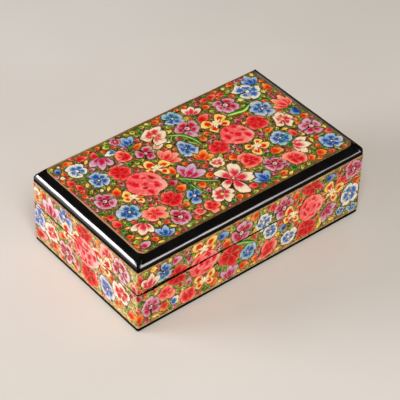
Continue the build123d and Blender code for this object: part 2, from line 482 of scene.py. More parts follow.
class Chart:
    """Petals laid on a flat chart, in mm, each a little above whatever it overlaps."""

    CELL = 0.5
    STEP = 0.012
    RINGS = (0.4, 0.72, 0.92, 1.0)
    FINE_RINGS = (0.6, 1.0)
    SKIRT = -0.03

    def __init__(self, low, high, seed, period=None):
        self.random = random.Random(seed)
        self.low = np.array(low, float)
        self.period = period
        self.cells = tuple(int(round((h - l) / self.CELL)) for l, h in zip(low, high))
        self.level = np.zeros(self.cells)
        self.taken = np.zeros(self.cells, bool)
        self.patches = []

    def cell(self, points):
        """Grid indices of chart points. A chart with a period wraps round in x."""
        x = points[:, 0] % self.period if self.period else points[:, 0]
        column = ((x - self.low[0]) / self.CELL).astype(int).clip(0, self.cells[0] - 1)
        row = ((points[:, 1] - self.low[1]) / self.CELL).astype(int).clip(0, self.cells[1] - 1)
        return column, row

    def cover(self, heart, outline, keep_free=False):
        """Marks the cells under a patch as taken and returns the height it lies at."""
        reach = np.abs(outline - heart).max()
        shares = np.linspace(0, 1, max(2, int(reach / 0.35) + 1))
        dense = np.concatenate([(outline + np.roll(outline, 1, 0)) / 2, outline])
        inside = heart + shares[:, None, None] * (dense - heart)
        cells = self.cell(inside.reshape(-1, 2))
        height = self.level[cells].max() + self.STEP
        self.level[cells] = height
        if not keep_free:
            self.taken[cells] = True
        return height

    def add(self, points, faces, skirt_faces, brush, style, toward_foot=0.5):
        """Keeps one patch: its points with heights, its faces, and the paint at each point.

        toward_foot is 1 at a petal's foot and 0 at its tip.
        """
        colours = {key: np.tile(style[key], (len(points), 1)) for key in ("rim", "core", "line", "spread")}
        colours["core"][:, 3] = self.random.random()
        colours["line"][:, 3] = toward_foot
        patch = {"points": points, "faces": faces, "skirt": skirt_faces, "brush": brush, **colours}
        self.patches.append(patch)

    def dome(self, heart, outline, spokes, style, keep_free, rings, heart_along, along):
        """Adds one closed outline as a low dome whose rings run from its heart to its edge."""
        height = self.cover(heart, outline, keep_free)
        count = len(outline)
        loops = [heart + share * (outline - heart) for share in rings]
        flat = np.concatenate([heart[None], *loops, loops[-1]])
        shares = np.concatenate([[0], np.repeat(rings, count), np.ones(count)])
        rise = height + 0.9 * self.STEP * (1 - shares ** 2)
        rise[-count:] = self.SKIRT
        brush = np.zeros((len(flat), 3))
        brush[1:, :2] = np.tile(spokes, (len(rings) + 1, 1))
        brush[:, 2] = 1 - shares
        reached = np.concatenate([[0], np.tile(along - heart_along, len(rings) + 1)])
        toward_foot = 1 - (heart_along + shares * reached)
        self.add(np.column_stack([flat, rise]), *dome_faces(count, len(rings)), brush, style, toward_foot)

    def petal(self, x, y, length, width, turn, style, shape=PETAL, heart=0.34, bend=0.0,
              lobes=2, wobble=0.035, notch=0.0, keep_free=False):
        """A petal from its foot at x, y. turn is where its tip points, in degrees."""
        size = max(length, width)
        fine = width < FINE_WIDTH
        count = FINE_POINTS if fine else next(points for limit, points in POINTS_UP_TO if size < limit)
        angle = np.arange(count) * (2 * math.pi / count)
        along = (1 - np.cos(angle)) / 2
        a, b = shape
        widest = a / (a + b)
        fullness = along ** a * (1 - along) ** b / (widest ** a * (1 - widest) ** b)
        phase = self.random.uniform(0, 2 * math.pi)
        uneven = 1 + wobble * np.sin(lobes * angle + phase)
        side = np.sign(np.sin(angle)) * fullness * (width / 2) * uneven
        dent = notch * np.exp(-(side / (0.22 * width)) ** 2) * (along > 0.6)
        forward = length * (along * uneven - dent)
        outline = np.column_stack([forward, side + bend * length * along ** 2])
        lean = 0 if fine else self.random.uniform(-0.15, 0.15) * width
        core = np.array([heart * length, bend * length * heart ** 2 + lean])
        spokes = outline - core
        spokes /= np.maximum(np.linalg.norm(spokes, axis=1), 1e-6)[:, None]
        cos, sin = math.cos(math.radians(turn)), math.sin(math.radians(turn))
        spin = np.array([[cos, sin], [-sin, cos]])
        foot = np.array([x, y])
        rings = self.FINE_RINGS if fine else self.RINGS
        self.dome(foot + core @ spin, foot + outline @ spin, spokes, PAINTS[style], keep_free, rings,
                  heart, along)

    def blade(self, points, width, style):
        """A long leaf along a smooth path, widest before its middle and pointed at its tip."""
        path = smooth_path(points, 9)
        normals = path_normals(path)
        along = np.linspace(0.0, 1.0, len(path))
        half = width / 2 * (1.9 * (along + 0.02) ** 0.45 * (1.0 - 0.995 * along) ** 0.65)
        edges = np.concatenate([path + normals * half[:, None], (path - normals * half[:, None])[::-1]])
        height = max(self.cover(path[i], edges[[i, -1 - i]]) for i in range(len(path)))
        flat = (path[:, None] + normals[:, None] * (half[:, None] * BLADE_COLUMNS)[..., None]).reshape(-1, 2)
        columns = np.tile(BLADE_COLUMNS, len(path))
        rise = height + 0.9 * self.STEP * (1 - columns ** 2)
        rise[np.arange(len(rise)) % len(BLADE_COLUMNS) % (len(BLADE_COLUMNS) - 1) == 0] = self.SKIRT
        lit = np.minimum(1 - np.abs(columns), 1 - np.abs(columns + 0.35) / 0.9).clip(0)
        brush = np.column_stack([columns * 0.8, np.repeat(along, len(BLADE_COLUMNS)) * 0.6, lit])
        faces, skirt = strip_faces(len(path), len(BLADE_COLUMNS))
        self.add(np.column_stack([flat, rise]), faces, skirt, brush, PAINTS[style])


def dome_faces(count, rings):
    """Faces of a dome: a fan round point 0, then rings of quads. The last ring is its steep skirt."""
    turn = [(i, (i + 1) % count) for i in range(count)]
    faces = [(0, 1 + j, 1 + i) for i, j in turn]
    for ring in range(rings):
        inner, outer = 1 + ring * count, 1 + (ring + 1) * count
        faces += [(inner + j, outer + j, outer + i, inner + i) for i, j in turn]
    return faces, [False] * (len(faces) - count) + [True] * count


def strip_faces(rows, columns, closed=False):
    """Faces of a strip of rows. Its first and last columns of faces are its steep skirts."""
    faces, skirt = [], []
    for row in range(rows if closed else rows - 1):
        here, ahead = row * columns, (row + 1) % rows * columns
        for column in range(columns - 1):
            faces.append((here + column + 1, here + column, ahead + column, ahead + column + 1))
            skirt.append(column in (0, columns - 2))
    return faces, skirt


def path_normals(path, closed=False):
    """Unit vectors to the left of a path."""
    ahead = np.roll(path, -1, 0) - np.roll(path, 1, 0) if closed else np.gradient(path, axis=0)
    return np.column_stack([-ahead[:, 1], ahead[:, 0]]) / np.linalg.norm(ahead, axis=1)[:, None]


def smooth_path(points, per_span):
    """Catmull-Rom points through a short list of given points."""
    first, last = np.array(points[0]), np.array(points[-1])
    ends = [2 * first - points[1], *map(np.array, points), 2 * last - points[-2]]
    made = []
    for before, start, end, after in zip(ends, ends[1:], ends[2:], ends[3:]):
        for t in np.linspace(0, 1, per_span, endpoint=False):
            bend = 2 * before - 5 * start + 4 * end - after
            twist = 3 * (start - end) + after - before
            made.append(0.5 * (2 * start + (end - before) * t + bend * t * t + twist * t ** 3))
    made.append(ends[-2])
    return np.array(made)


# ---------------------------------------------------------------- motifs

def around(x, y, across, up, turn):
    """The point at turn, in degrees, on an ellipse round x, y."""
    angle = math.radians(turn)
    return x + across * math.cos(angle), y + up * math.sin(angle)


def toward(x, y, distance, turn):
    return around(x, y, distance, distance, turn)


def blossom(chart, x, y, size, tall=None, *, style, count=5, inner, wide=1.12, notch=0.0, heart=None,
            heart_size=0.3, uneven=0.2, core=0.36):
    """An open flower of unequal petals round a heart. tall is its half height where it isn't round."""
    tall = 1.05 * (tall or size)
    size = 1.05 * size
    rand = chart.random
    first = rand.uniform(0, 360)
    shade_and_strokes(chart, x, y, size, tall)
    peeking_leaves(chart, x, y, size, tall, first + 180 / count, count)
    styles = style if isinstance(style, tuple) else (style,)
    for index in rand.sample(range(count), count):
        angle = first + index * 360 / count + rand.uniform(-13, 13)
        cos, sin = math.cos(math.radians(angle)), math.sin(math.radians(angle))
        share = rand.uniform(1 - 1.3 * uneven, 1 + 0.5 * uneven)
        reach = math.hypot(size * cos, tall * sin) * share
        broad = math.hypot(size * sin, tall * cos) * math.tan(math.pi / max(count, 4)) * 1.16 * wide
        foot = around(x, y, inner * size, inner * tall, angle)
        chart.petal(*foot, reach * (1 - inner), broad * rand.uniform(0.8, 1.2), angle, rand.choice(styles),
                    heart=core + rand.uniform(-0.06, 0.12), notch=notch, wobble=0.07,
                    lobes=rand.choice((2, 3, 4)), bend=rand.uniform(-0.2, 0.2))
    if heart:
        dot(chart, x, y, heart_size * min(size, tall) * 2, style=heart)


# Half the size of the dark patch under a flower, as a share of the flower's own.
SHADE = 0.78
STROKES_ROUND_FLOWER = 9


def shade_and_strokes(chart, x, y, size, tall):
    """A dark uneven patch under a flower and fine light strokes that run round outside it."""
    rand = chart.random
    chart.petal(x - SHADE * size, y, 2 * SHADE * size, 2 * SHADE * tall, 0, "shade", OVAL, heart=0.5,
                lobes=5, wobble=0.12, keep_free=True)
    for _ in range(STROKES_ROUND_FLOWER):
        turn = rand.uniform(0, 360)
        out = rand.uniform(1.0, 1.2)
        spot = around(x, y, out * size, out * tall, turn)
        chart.petal(*spot, rand.uniform(0.3, 0.6) * size, rand.uniform(0.28, 0.5), turn + 90,
                    rand.choice(("gold_stroke", "gold_stroke", "leaf_stroke")), LEAF, bend=0.2,
                    keep_free=True)


def peeking_leaves(chart, x, y, size, tall, first, count):
    """Small leaves behind a flower that show between its petals."""
    rand = chart.random
    for index in range(count):
        angle = first + index * 360 / count + rand.uniform(-16, 16)
        spot = around(x, y, 0.5 * size, 0.5 * tall, angle)
        chart.petal(*spot, 0.68 * min(size, tall) * rand.uniform(0.8, 1.25), 0.24 * min(size, tall), angle,
                    rand.choice(("green", "lime", "olive", "dark_green")), LEAF, heart=0.5,
                    bend=rand.uniform(-0.2, 0.2), keep_free=True)


def dot(chart, x, y, size, tall=None, turn=None, *, style):
    """A dab of paint, given by its middle and its width, or its width and height."""
    turn = chart.random.uniform(-25, 25) if turn is None else turn
    foot = toward(x, y, -size / 2, turn)
    chart.petal(*foot, size, tall or size, turn, style, OVAL, heart=0.5, lobes=3)


def rose(chart, x, y, size, tall=None, turn=0, dabs=None):
    """A broad disc, pointed at one end, with unequal deep dabs: listed ones or a ring of them."""
    tall = tall or size
    chart.petal(*toward(x, y, -size, turn), 2 * size, 2 * tall, turn, "rose_disc", ROSE_OUTLINE, heart=0.5,
                lobes=5, wobble=0.025)
    dabs = dabs or ring_of_dabs(chart, size, tall)
    for across, up, length, width, way, style in dabs:
        foot = toward(x + across, y + up, -0.72 * length, way)
        chart.petal(*foot, 1.44 * length, 1.75 * width, way, "rose_middle", OVAL, heart=0.5, wobble=0.06)
    for across, up, length, width, way, style in dabs:
        foot = toward(x + across, y + up, -0.56 * length, way)
        chart.petal(*foot, 1.12 * length, 1.15 * width, way, style, OVAL, heart=0.5, wobble=0.1, lobes=3,
                    bend=chart.random.uniform(-0.2, 0.2))


def ring_of_dabs(chart, size, tall):
    """Five dabs that run round a rose, two nearer its middle and five light strokes."""
    rand = chart.random
    first = rand.uniform(0, 360)
    made = []
    for count, share, long, broad, style in (
        (5, 0.64, 0.46, 0.22, "rose"),
        (2, 0.24, 0.4, 0.24, "rose"),
        (5, 0.46, 0.4, 0.12, "rose_light"),
    ):
        for index in range(count):
            turn = first * count + index * 360 / count + rand.uniform(-14, 14)
            out = share * rand.uniform(0.88, 1.1)
            spot = around(0, 0, out * size, out * tall, turn)
            made.append((*spot, long * rand.uniform(0.75, 1.2) * size, broad * rand.uniform(0.8, 1.25) * size,
                         turn + 90 + rand.uniform(-30, 30), style))
    return made


# Dabs of the lid's two great roses: place from the rose's middle, length and width in mm, turn, paint.
FAR_ROSE_DABS = (
    (2.8, 6.2, 4.6, 2.0, -40, "rose"),
    (-2.6, 6.0, 3.9, 2.3, -88, "rose"),
    (-5.2, 0.6, 4.9, 2.5, -81, "rose"),
    (-1.5, -4.4, 5.0, 1.6, -22, "rose"),
    (0.8, -0.2, 4.2, 3.2, -30, "rose"),
    (4.8, -3.8, 4.6, 2.2, -74, "rose"),
    (4.6, 1.5, 5.2, 1.3, -40, "rose_deep"),
    (-1.4, 2.6, 3.0, 1.3, -60, "rose"),
    (2.4, 3.4, 4.0, 0.6, -50, "rose_light"),
    (-2.6, -1.6, 3.2, 0.6, -60, "rose_light"),
)
NEAR_ROSE_DABS = (
    (-0.8, 7.2, 4.4, 3.0, -36, "rose"),
    (-5.2, 2.3, 7.8, 2.5, -68, "rose"),
    (4.9, 2.1, 5.0, 1.9, -74, "rose_deep"),
    (3.8, -4.1, 4.8, 2.5, -105, "rose"),
    (-1.4, -7.0, 5.2, 2.1, -75, "rose"),
    (-0.6, 0.5, 3.2, 2.1, 49, "rose"),
    (-2.3, -2.7, 3.0, 1.7, -41, "rose_deep"),
    (1.9, 4.4, 3.6, 1.1, -20, "rose"),
    (0.8, 2.7, 2.2, 0.9, 20, "rose_light"),
    (2.0, -1.2, 2.4, 0.9, -50, "rose_light"),
    (-3.2, 0.9, 2.6, 0.8, -100, "rose_light"),
)


def tulip(chart, x, y, length, turn, style, fan=34, count=3, width=0.52):
    """Petals fanned out from one foot at x, y, the middle one on top."""
    order = sorted(range(count), key=lambda k: -abs(k - (count - 1) / 2))
    for k in order:
        side = k - (count - 1) / 2
        reach = length * (1 - 0.09 * abs(side)) * chart.random.uniform(0.95, 1.05)
        chart.petal(x, y, reach, length * width, turn + fan * side, style, TULIP,
                    heart=0.3, bend=0.12 * side)
    for side in (-1, 1):
        chart.petal(x, y, 0.34 * length, 0.16 * length, turn + 180 + 38 * side, "green", LEAF)


SMALLEST_WITH_CALYX = 2.6


def bud(chart, x, y, size, tall=None, turn=None, *, style):
    """A closed bud, given by its middle. It lies along its longer side unless turn is given."""
    tall = tall or size
    if turn is None:
        turn = (0 if size >= tall else 90) + chart.random.choice((0, 180)) + chart.random.uniform(-18, 18)
        size, tall = max(size, tall), min(size, tall)
    foot = toward(x, y, -size / 2, turn)
    if size > SMALLEST_WITH_CALYX:
        for side in (-1, 1):
            chart.petal(*foot, 0.42 * size, 0.2 * size, turn + 62 * side, "green", LEAF, keep_free=True)
    chart.petal(*foot, size, tall, turn, style, BUD, heart=0.3)


def leaf(chart, x, y, size, tall=None, turn=None, *, style):
    """A leaflet, given by its middle."""
    tall = tall or 0.62 * size
    if turn is None:
        turn = (0 if size >= tall else 90) + chart.random.choice((0, 180)) + chart.random.uniform(-25, 25)
        size, tall = max(size, tall), min(size, tall)
    foot = toward(x, y, -size / 2, turn)
    chart.petal(*foot, size, tall, turn, style, LEAF, heart=0.4, bend=chart.random.uniform(-0.12, 0.12))


def butterfly(chart, x, y, size, turn):
    """Four unequal wings, yellow with red throats, and pale streaks out of the heart over them."""
    rand = chart.random
    wings = ((-2.3, 0.9, 0.62), (2.3, 0.84, 0.66), (-1, 1.12, 0.82), (1, 1.04, 0.88))
    for side, reach, width in wings:
        angle = turn + 52 * side + rand.uniform(-8, 8)
        chart.petal(*toward(x, y, 0.06 * size, angle), reach * size, width * size, angle, "yellow_red",
                    PETAL, heart=0.62, bend=rand.uniform(-0.1, 0.1), wobble=0.06, lobes=3)
    for side, reach, width in wings:
        for spread in (-0.2, 0.2):
            angle = turn + 52 * (side + spread) + rand.uniform(-7, 7)
            chart.petal(x, y, reach * size * rand.uniform(0.42, 0.62), 0.13 * size, angle, "yellow_heart",
                        LEAF, heart=0.5)
    for side, reach in ((-1, 0.42), (1, 0.4), (0, 0.6)):
        angle = turn + 34 * side + rand.uniform(-6, 6)
        chart.petal(*toward(x, y, -0.2 * size, angle), reach * size, 0.24 * size, angle, "yellow_heart",
                    PETAL, heart=0.5)


def great_blossom(chart, x, y, size):
    """The large cream flower: five unequal petals with crimson throats."""
    shade_and_strokes(chart, x, y, size, size)
    petals = (
        (-0.04, 0.02, 1.06, 0.6, 104),
        (-0.06, -0.02, 0.86, 0.5, 190),
        (-0.02, -0.06, 1.24, 0.68, -101),
        (0.04, -0.04, 1.06, 0.7, -24),
        (0.03, 0.03, 1.2, 0.74, 45),
    )
    for across, up, length, width, turn in petals:
        chart.petal(x + across * size, y + up * size, length * size, width * size, turn, "cream",
                    PETAL, notch=0.07, heart=0.26, bend=0.08)
    dot(chart, x, y, 0.13 * size, style="cream_dot")


BUDS = ("orange_bud", "coral_bud", "crimson_bud", "mauve_bud", "blue_bud", "cream_bud", "cream_blue_bud")
# Leaves and dots, each with the name of its paint.
LEAVES = {"lime": "lime", "green": "green", "dark_green": "dark_green", "olive": "olive",
          "yellow_leaf": "yellow"}
DOTS = {"lime_ball": "lime_ball", "cream_dot": "cream_dot", "yellow_dot": "yellow"}

MOTIFS = {
    "rose": rose,
    "great_cream": great_blossom,
    "butterfly": butterfly,
    "small_rose": partial(blossom, style=("coral", "coral", "coral_pale"), inner=0.0, wide=1.3, core=0.3),
    "red": partial(blossom, style="red", count=6, inner=0.05, wide=1.2, heart="red", heart_size=0.14,
                   uneven=0.12),
    "red_lined": partial(blossom, style="red_lined", count=6, inner=0.04, wide=1.1, heart="red",
                         heart_size=0.12),
    "coral": partial(blossom, style=("coral", "coral_pale"), inner=0.02, core=0.26, wide=1.2, uneven=0.3),
    "blue": partial(blossom, style=("blue", "blue_mid", "teal", "blue"), inner=0.1, wide=1.1,
                    heart="white_heart", heart_size=0.1),
    "blue_trio": partial(blossom, style="blue_mid", count=3, inner=0.04, wide=0.85, heart="white_heart",
                         heart_size=0.14),
    "white_blue": partial(blossom, style="white_blue", inner=0.12, notch=0.04, heart="white_heart",
                          heart_size=0.14),
    "mauve": partial(blossom, style=("mauve", "mauve", "mauve_pale"), inner=0.2, wide=1.06,
                     heart="mauve_heart", heart_size=0.2),
    "mauve_trio": partial(blossom, style="mauve", count=3, inner=0.1, wide=0.9, heart="mauve_heart",
                          heart_size=0.16),
    "cream": partial(blossom, style=("cream", "cream", "cream_pale"), inner=0.1, core=0.22, wide=1.05,
                     notch=0.05, heart="yellow", heart_size=0.14),
    "coral_fan": partial(tulip, style="coral_pale", fan=26, count=4, width=0.46),
    "orange_fan": partial(tulip, style="orange", fan=32, width=0.56),
    "mauve_tulip": partial(tulip, style="mauve_tulip"),
    "cream_tulip": partial(tulip, style="cream"),
    "blue_tulip": partial(tulip, style="blue_mid"),
    **{name: partial(bud, style=name) for name in BUDS},
    **{name: partial(leaf, style=style) for name, style in LEAVES.items()},
    **{name: partial(dot, style=style) for name, style in DOTS.items()},
}


def lay(chart, layout, start=0, side=1):
    """Paints a layout's motifs in order round x = start. A side of -1 places them the other way round."""
    for kind, entries in layout.items():
        for x, y, *rest in entries:
            MOTIFS[kind](chart, start + side * x, y, *rest)


def grow_vines(chart, low, high, count):
    """Thin olive stems under all the motifs."""
    for _ in range(count):
        x = chart.random.uniform(low[0], high[0])
        y = chart.random.uniform(low[1], high[1])
        chart.petal(x, y, chart.random.uniform(5, 10), chart.random.uniform(0.35, 0.6),
                    chart.random.uniform(0, 360), "vine", (0.4, 0.8), heart=0.4,
                    bend=chart.random.uniform(-0.35, 0.35), keep_free=True)


# Gaps are measured up to this far from a free spot, and a filler's half width has a limit, in mm.
GAP_REACH = 3.2
WIDEST_FILLER = 1.7


def fill_gaps(chart, smallest=1.08):
    """Buds and leaflets along the gaps that are left free, wide gaps before narrow ones."""
    reach = GAP_REACH
    cell = chart.CELL
    clearance = np.full(chart.cells, reach)
    steps = range(-int(reach / cell), int(reach / cell) + 1)
    for column in steps:
        for row in steps:
            distance = math.hypot(column, row) * cell
            if distance < reach:
                near = np.roll(chart.taken, (column, row), (0, 1))
                clearance[near] = np.minimum(clearance[near], distance)
    columns, rows = np.meshgrid(*(np.arange(n) for n in chart.cells), indexing="ij")
    favour = np.random.default_rng(chart.random.randrange(10 ** 6)).uniform(0.7, 1.0, chart.cells)
    while True:
        best = np.unravel_index(np.argmax(clearance * favour), chart.cells)
        room = clearance[best]
        if room < smallest:
            break
        half = min(room, WIDEST_FILLER)
        turn, stretch = gap_direction(chart, clearance, best, room)
        x, y = chart.low + (np.array(best) + 0.5) * cell
        length = 2 * half * (0.8 + 0.6 * stretch)
        fill_motif(chart, x, y, length, 1.66 * half, turn, room)
        apart = half * chart.random.uniform(0.95, 1.35)
        way = np.array(toward(0, 0, 1, turn))
        for share in (-1, -0.5, 0, 0.5, 1):
            along = share * (length / 2 - half * 0.7) / cell
            centre = np.array(best) + along * way
            away = np.hypot(columns - centre[0], rows - centre[1]) * cell - apart
            clearance = np.minimum(clearance, np.maximum(away, 0))


def gap_direction(chart, clearance, best, room):
    """The way a gap runs, in degrees, and how far it runs both ways, from 0 to 1."""
    options = []
    for turn in range(0, 180, 20):
        step = np.array(toward(0, 0, 1, turn)) * room * 1.2 / chart.CELL
        ends = [np.rint(best + side * step).astype(int) for side in (-1, 1)]
        ends = [tuple(np.clip(end, 0, np.array(chart.cells) - 1)) for end in ends]
        options.append((min(clearance[end] for end in ends), turn))
    free, turn = max(options)
    return turn, min(1.0, free / room)


# A gap with more room than this, in mm to each side, is a wide one.
WIDE_GAP = 1.4


def fill_motif(chart, x, y, length, width, turn, room):
    """One filler that suits its gap: mostly buds in wide gaps and mostly leaflets in narrow ones."""
    pick = chart.random.choice
    turn += pick((0, 180)) + chart.random.uniform(-18, 18)
    if room > WIDE_GAP:
        kind = pick(("orange_bud", "coral_bud", "crimson_bud", "mauve_bud", "yellow_leaf", "green", "lime"))
    else:
        kind = pick(("lime", "lime", "green", "olive", "dark_green", "dark_green", "crimson_bud"))
    if kind in LEAVES:
        length, width = 1.2 * length, 0.72 * width
    MOTIFS[kind](chart, x, y, length, width, turn)


# Strokes on the open ground: their paints, their share of the tries and their least and most width.
HATCHING = (
    (("dark_stroke", "dark_stroke", "vine"), 0.4, 0.45, 0.9),
    (("gold_stroke", "gold_stroke", "leaf_stroke", "vine"), 0.6, 0.26, 0.48),
)


def hatch(chart, tries, low, high):
    """Broad dark strokes and then fine gold and green ones on the ground that is still free."""
    rand = chart.random
    for styles, share, least, most in HATCHING:
        for _ in range(int(share * tries)):
            x = rand.uniform(low[0], high[0])
            y = rand.uniform(low[1], high[1])
            turn = rand.uniform(0, 360)
            length = rand.uniform(1.0, 3.0)
            ends = np.array([(x, y), toward(x, y, length / 2, turn), toward(x, y, length, turn)])
            if not chart.taken[chart.cell(ends)].any():
                chart.petal(x, y, length, rand.uniform(least, most), turn, rand.choice(styles), LEAF,
                            keep_free=True, bend=rand.uniform(-0.16, 0.16))


# ---------------------------------------------------------------- layouts, in mm from the middle of each face

# Flowers are (x, y, radius) or (x, y, half width, half height), and roses may add a turn and their own
# dabs. Tulips and fans are (foot x, foot y, length, turn), and butterflies are (x, y, size, turn). Buds,
# leaves and dots are (x, y, width), (x, y, width, height) or (x, y, length, width, turn).
TOP_LAYOUT = {
    "lime": [
        (-35, 36.3, 5, 3.8), (-49.7, 10, 3, 2.2), (-29.8, 16, 3, 3.5), (-54.7, -3, 3, 2.4),
        (-52, -28.7, 2.5, 2), (-67.5, -32, 3.6, 3), (-39, -22.5, 2, 1.6), (-40.5, -25, 2, 1.4),
        (-47, -13, 2, 1.5), (-45, -37.8, 2.6, 2.2), (-67.5, -40.4, 3.4, 2.2), (-9.5, 38.3, 3.5, 3),
        (-16.7, 37.5, 3.2, 4), (1.7, 30, 3.4, 3), (8.3, -6.2, 2.8, 2.6), (18.5, -26, 3, 2.4),
        (8, -31, 2.5, 2), (20, -30.5, 2, 3), (13, -25.5, 3.5, 2), (11, -22.5, 2.4, 1.8),
        (45.5, 19.6, 4, 2, 12), (33, 32.5, 3, 2.4), (39.5, -6.8, 2.8, 2.2), (38.5, -10.5, 2, 2.4),
        (35.7, -15, 2.6, 2.6), (55.7, -10.5, 3, 2.5), (47.3, -2, 2.6, 2.4), (58.5, -22.5, 3, 1.5),
        (48, -31.5, 3, 2), (68.5, 19.5, 1.5, 3),
    ],
    "green": [
        (-25.5, 23.5, 3.2, 4), (-34, 18, 2.8, 4), (-68, 6, 2, 2.2), (-68.5, 1.5, 2.4, 2), (-68, -5, 3.2, 3),
        (-64, -7.3, 2.6, 2), (-62.5, -19.5, 3.5, 2.5), (-54, -21, 2.5, 3), (-67.5, -22.3, 3, 3.5),
        (-28, -11, 2.5, 2), (-13, 34.8, 3.6, 2.8), (-17, 22.5, 2.2, 2), (18.5, 18.8, 3.2, 3.5),
        (-9, 4, 2.6, 2), (-7.5, 5.5, 2.2, 1.6), (-18.5, 8.7, 2.2, 2), (-9, -37.8, 4, 3), (-14, -37.5, 3, 2),
        (20.5, -37, 4, 3), (32.5, -37, 4.5, 4), (25.5, 39.3, 2.8, 2), (56.5, 19.5, 5, 3, -25),
        (61, 16.5, 4, 2.4, -30), (44.5, 33, 2.8, 2), (61.5, 2.5, 3, 2), (50, -19.3, 4, 2.5),
        (50.5, -32.5, 4, 2), (48.7, 2.3, 3.5, 2.5),
    ],
    "olive": [
        (47, -9.5, 2.6, 2), (54.5, 35.5, 3.5, 2.5), (68.8, -37.5, 3, 3.5), (42.5, -22, 3, 2.5),
        (52, 22, 3, 2),
    ],
    "yellow_leaf": [(-6, 39, 3, 2), (68, 38.5, 2.5, 3), (55.5, -18.5, 2.6, 2), (36.5, 8, 2, 2.5)],
    "cream_dot": [(-64.5, 38, 1.7), (-67.7, 29.5, 2.8), (-57.5, 9.5, 2.2), (-32.5, -11.5, 2.2)],
    "yellow_dot": [(-7.8, 16.8, 3.5)],
    "lime_ball": [(-38.7, -38.3, 3.8, 3.2), (27.3, -17.3, 3.6), (47, 38.3, 3.5, 3), (48.8, 24.8, 5, 4.4)],
    "orange_bud": [
        (-59, 37.3, 6.5, 3.5, -10), (-67, 10.5, 3, 4), (-52.3, 4, 7.5, 5.5, 60), (-67.2, -27.5, 4, 3.5),
        (-58.2, -36.3, 4, 3.7), (-30, -25, 4.2, 4), (-23.5, -13.5, 6.5, 5.5), (-21, 27, 7, 4),
        (-0.8, 37.3, 4.5, 4), (14.5, 29.3, 4.5, 5), (10.5, 10.3, 4.2, 4.5), (-19, 0.5, 8, 4, 75),
        (12.8, -11, 6, 5.5), (-6.2, -14.5, 5, 4.5), (-14, -18.7, 4.5, 5.5), (26.3, -36.3, 5.5, 4),
        (-4, -36.8, 4.5, 3.5), (29.3, 31.2, 4.5, 4.5), (51.8, 39, 6, 3.5), (67.5, 25.5, 7.5, 4.8, 90),
        (42.5, 13.3, 3.2, 3), (57.7, 4.5, 4, 4), (43.5, -4.5, 6.5, 3.7), (60.3, -6, 3.6, 3.4),
        (67, -7, 4.8, 4.3), (35.5, -20.5, 8, 6, -30), (46, -36, 5.5, 5), (53.3, -36, 6.5, 5.5),
        (59.7, -25.3, 4.5, 3.5),
    ],
    "coral_bud": [
        (-50.5, 36.2, 7.5, 4.5, -15), (-44, 34.6, 6, 5, 60), (-67, 23.8, 4.5, 6), (-65.3, 18.5, 4.5, 5),
        (-65.8, 14.5, 4, 2.8), (-66.5, -10.8, 4.5, 5), (-67, -15.5, 5.5, 6.5), (-31.8, -36.8, 3.6, 3.4),
        (22, 24.5, 9.5, 6, 25), (6.5, -34.5, 5.5, 4.5), (31.5, 36.5, 5, 4), (37.5, 36.5, 5.5, 5),
        (42, 35, 4.6, 4.4), (51.7, -14, 7, 4.5, 90), (68, -24.5, 4.6, 4.4),
    ],
    "crimson_bud": [
        (-33.3, 11.5, 3, 4), (-46.3, 7.3, 3.5, 4), (-40.5, -14.8, 5, 3.3), (-24.5, -8, 5, 4.6),
        (16, 8.5, 3.8, 3.5), (19.3, -8, 3.8, 3.5), (35, 11.3, 4.5, 5), (37.8, -4, 3.5, 4),
    ],
    "mauve_bud": [(-64.5, -36.3, 6.5, 4.8, 0), (-48, 1, 4, 4)],
    "blue_bud": [(-66.8, 35.5, 5, 3.5, 80), (65, -0.7, 6, 7.6, 180)],
    "cream_blue_bud": [(-36.5, 30.8, 7, 4.5, 180)],
    "cream_bud": [(-12.3, 20.5, 6.5, 5), (-6.2, 21, 3.5, 5)],
    "orange_fan": [(-2.2, -2.2, 9.6, 34)],
    "coral": [(-32.5, 24.5, 5), (-47.5, -20.5, 6.5), (-28, -33.5, 3.6), (-21, -34, 4.6)],
    "coral_fan": [(-17.5, 8.5, 11, 22), (65.5, 4.5, 11.5, 96)],
    "red": [(-41.5, 15, 6), (-33, -17.5, 6.2), (12.5, 0, 6.2), (42.5, 4.5, 6.5)],
    "white_blue": [(-58.5, 29.5, 6.5), (56, 28, 8)],
    "blue": [
        (-54, 16.8, 6.3), (-56.5, -12.5, 7), (8, 34, 6.5), (52.5, 11.5, 7), (43.5, -13.5, 6.7),
        (63.5, -32, 6.3), (-2, 10, 5, 8),
    ],
    "blue_trio": [(-22.5, -22.5, 6)],
    "blue_tulip": [(-53, -37.5, 8.5, 55), (-24, 30, 8.5, 90), (15.5, -36, 9, 100), (63, 31, 9, 85)],
    "mauve": [
        (-61.5, 1.5, 6, 7.5), (-38.5, -31, 6.3), (-28.5, 37, 3.2), (9, 22.5, 7.5), (27, -28, 6.3),
        (38.5, 26, 7.2), (63.5, -16, 6.6, 7.4),
    ],
    "mauve_trio": [(-21.5, 19.5, 6)],
    "mauve_tulip": [(-42, 31, 10.5, 238), (-16.5, -9, 12.5, 35)],
    "cream": [(-9, 28.5, 7.6), (3.5, -9, 4.6), (-10.5, -30, 6.5), (55, -2.5, 6.3)],
    "cream_tulip": [(-56, -23, 10, 230), (18.5, 30, 8.6, 60), (45, -21.5, 11, -38)],
    "small_rose": [(19, -18, 6.3), (38.5, -31, 6.2)],
    "butterfly": [(-48, -5, 6.5, 60), (-24.5, 6, 7.5, 60), (24, 16, 8, 95), (29, -10.5, 6.8, -80)],
    "great_cream": [(2, -24, 10.5)],
    "rose": [(-36.2, -0.2, 10.7, 9.6, -41, NEAR_ROSE_DABS), (27.2, 2.5, 9.5, 8.3, -41, FAR_ROSE_DABS)],
}

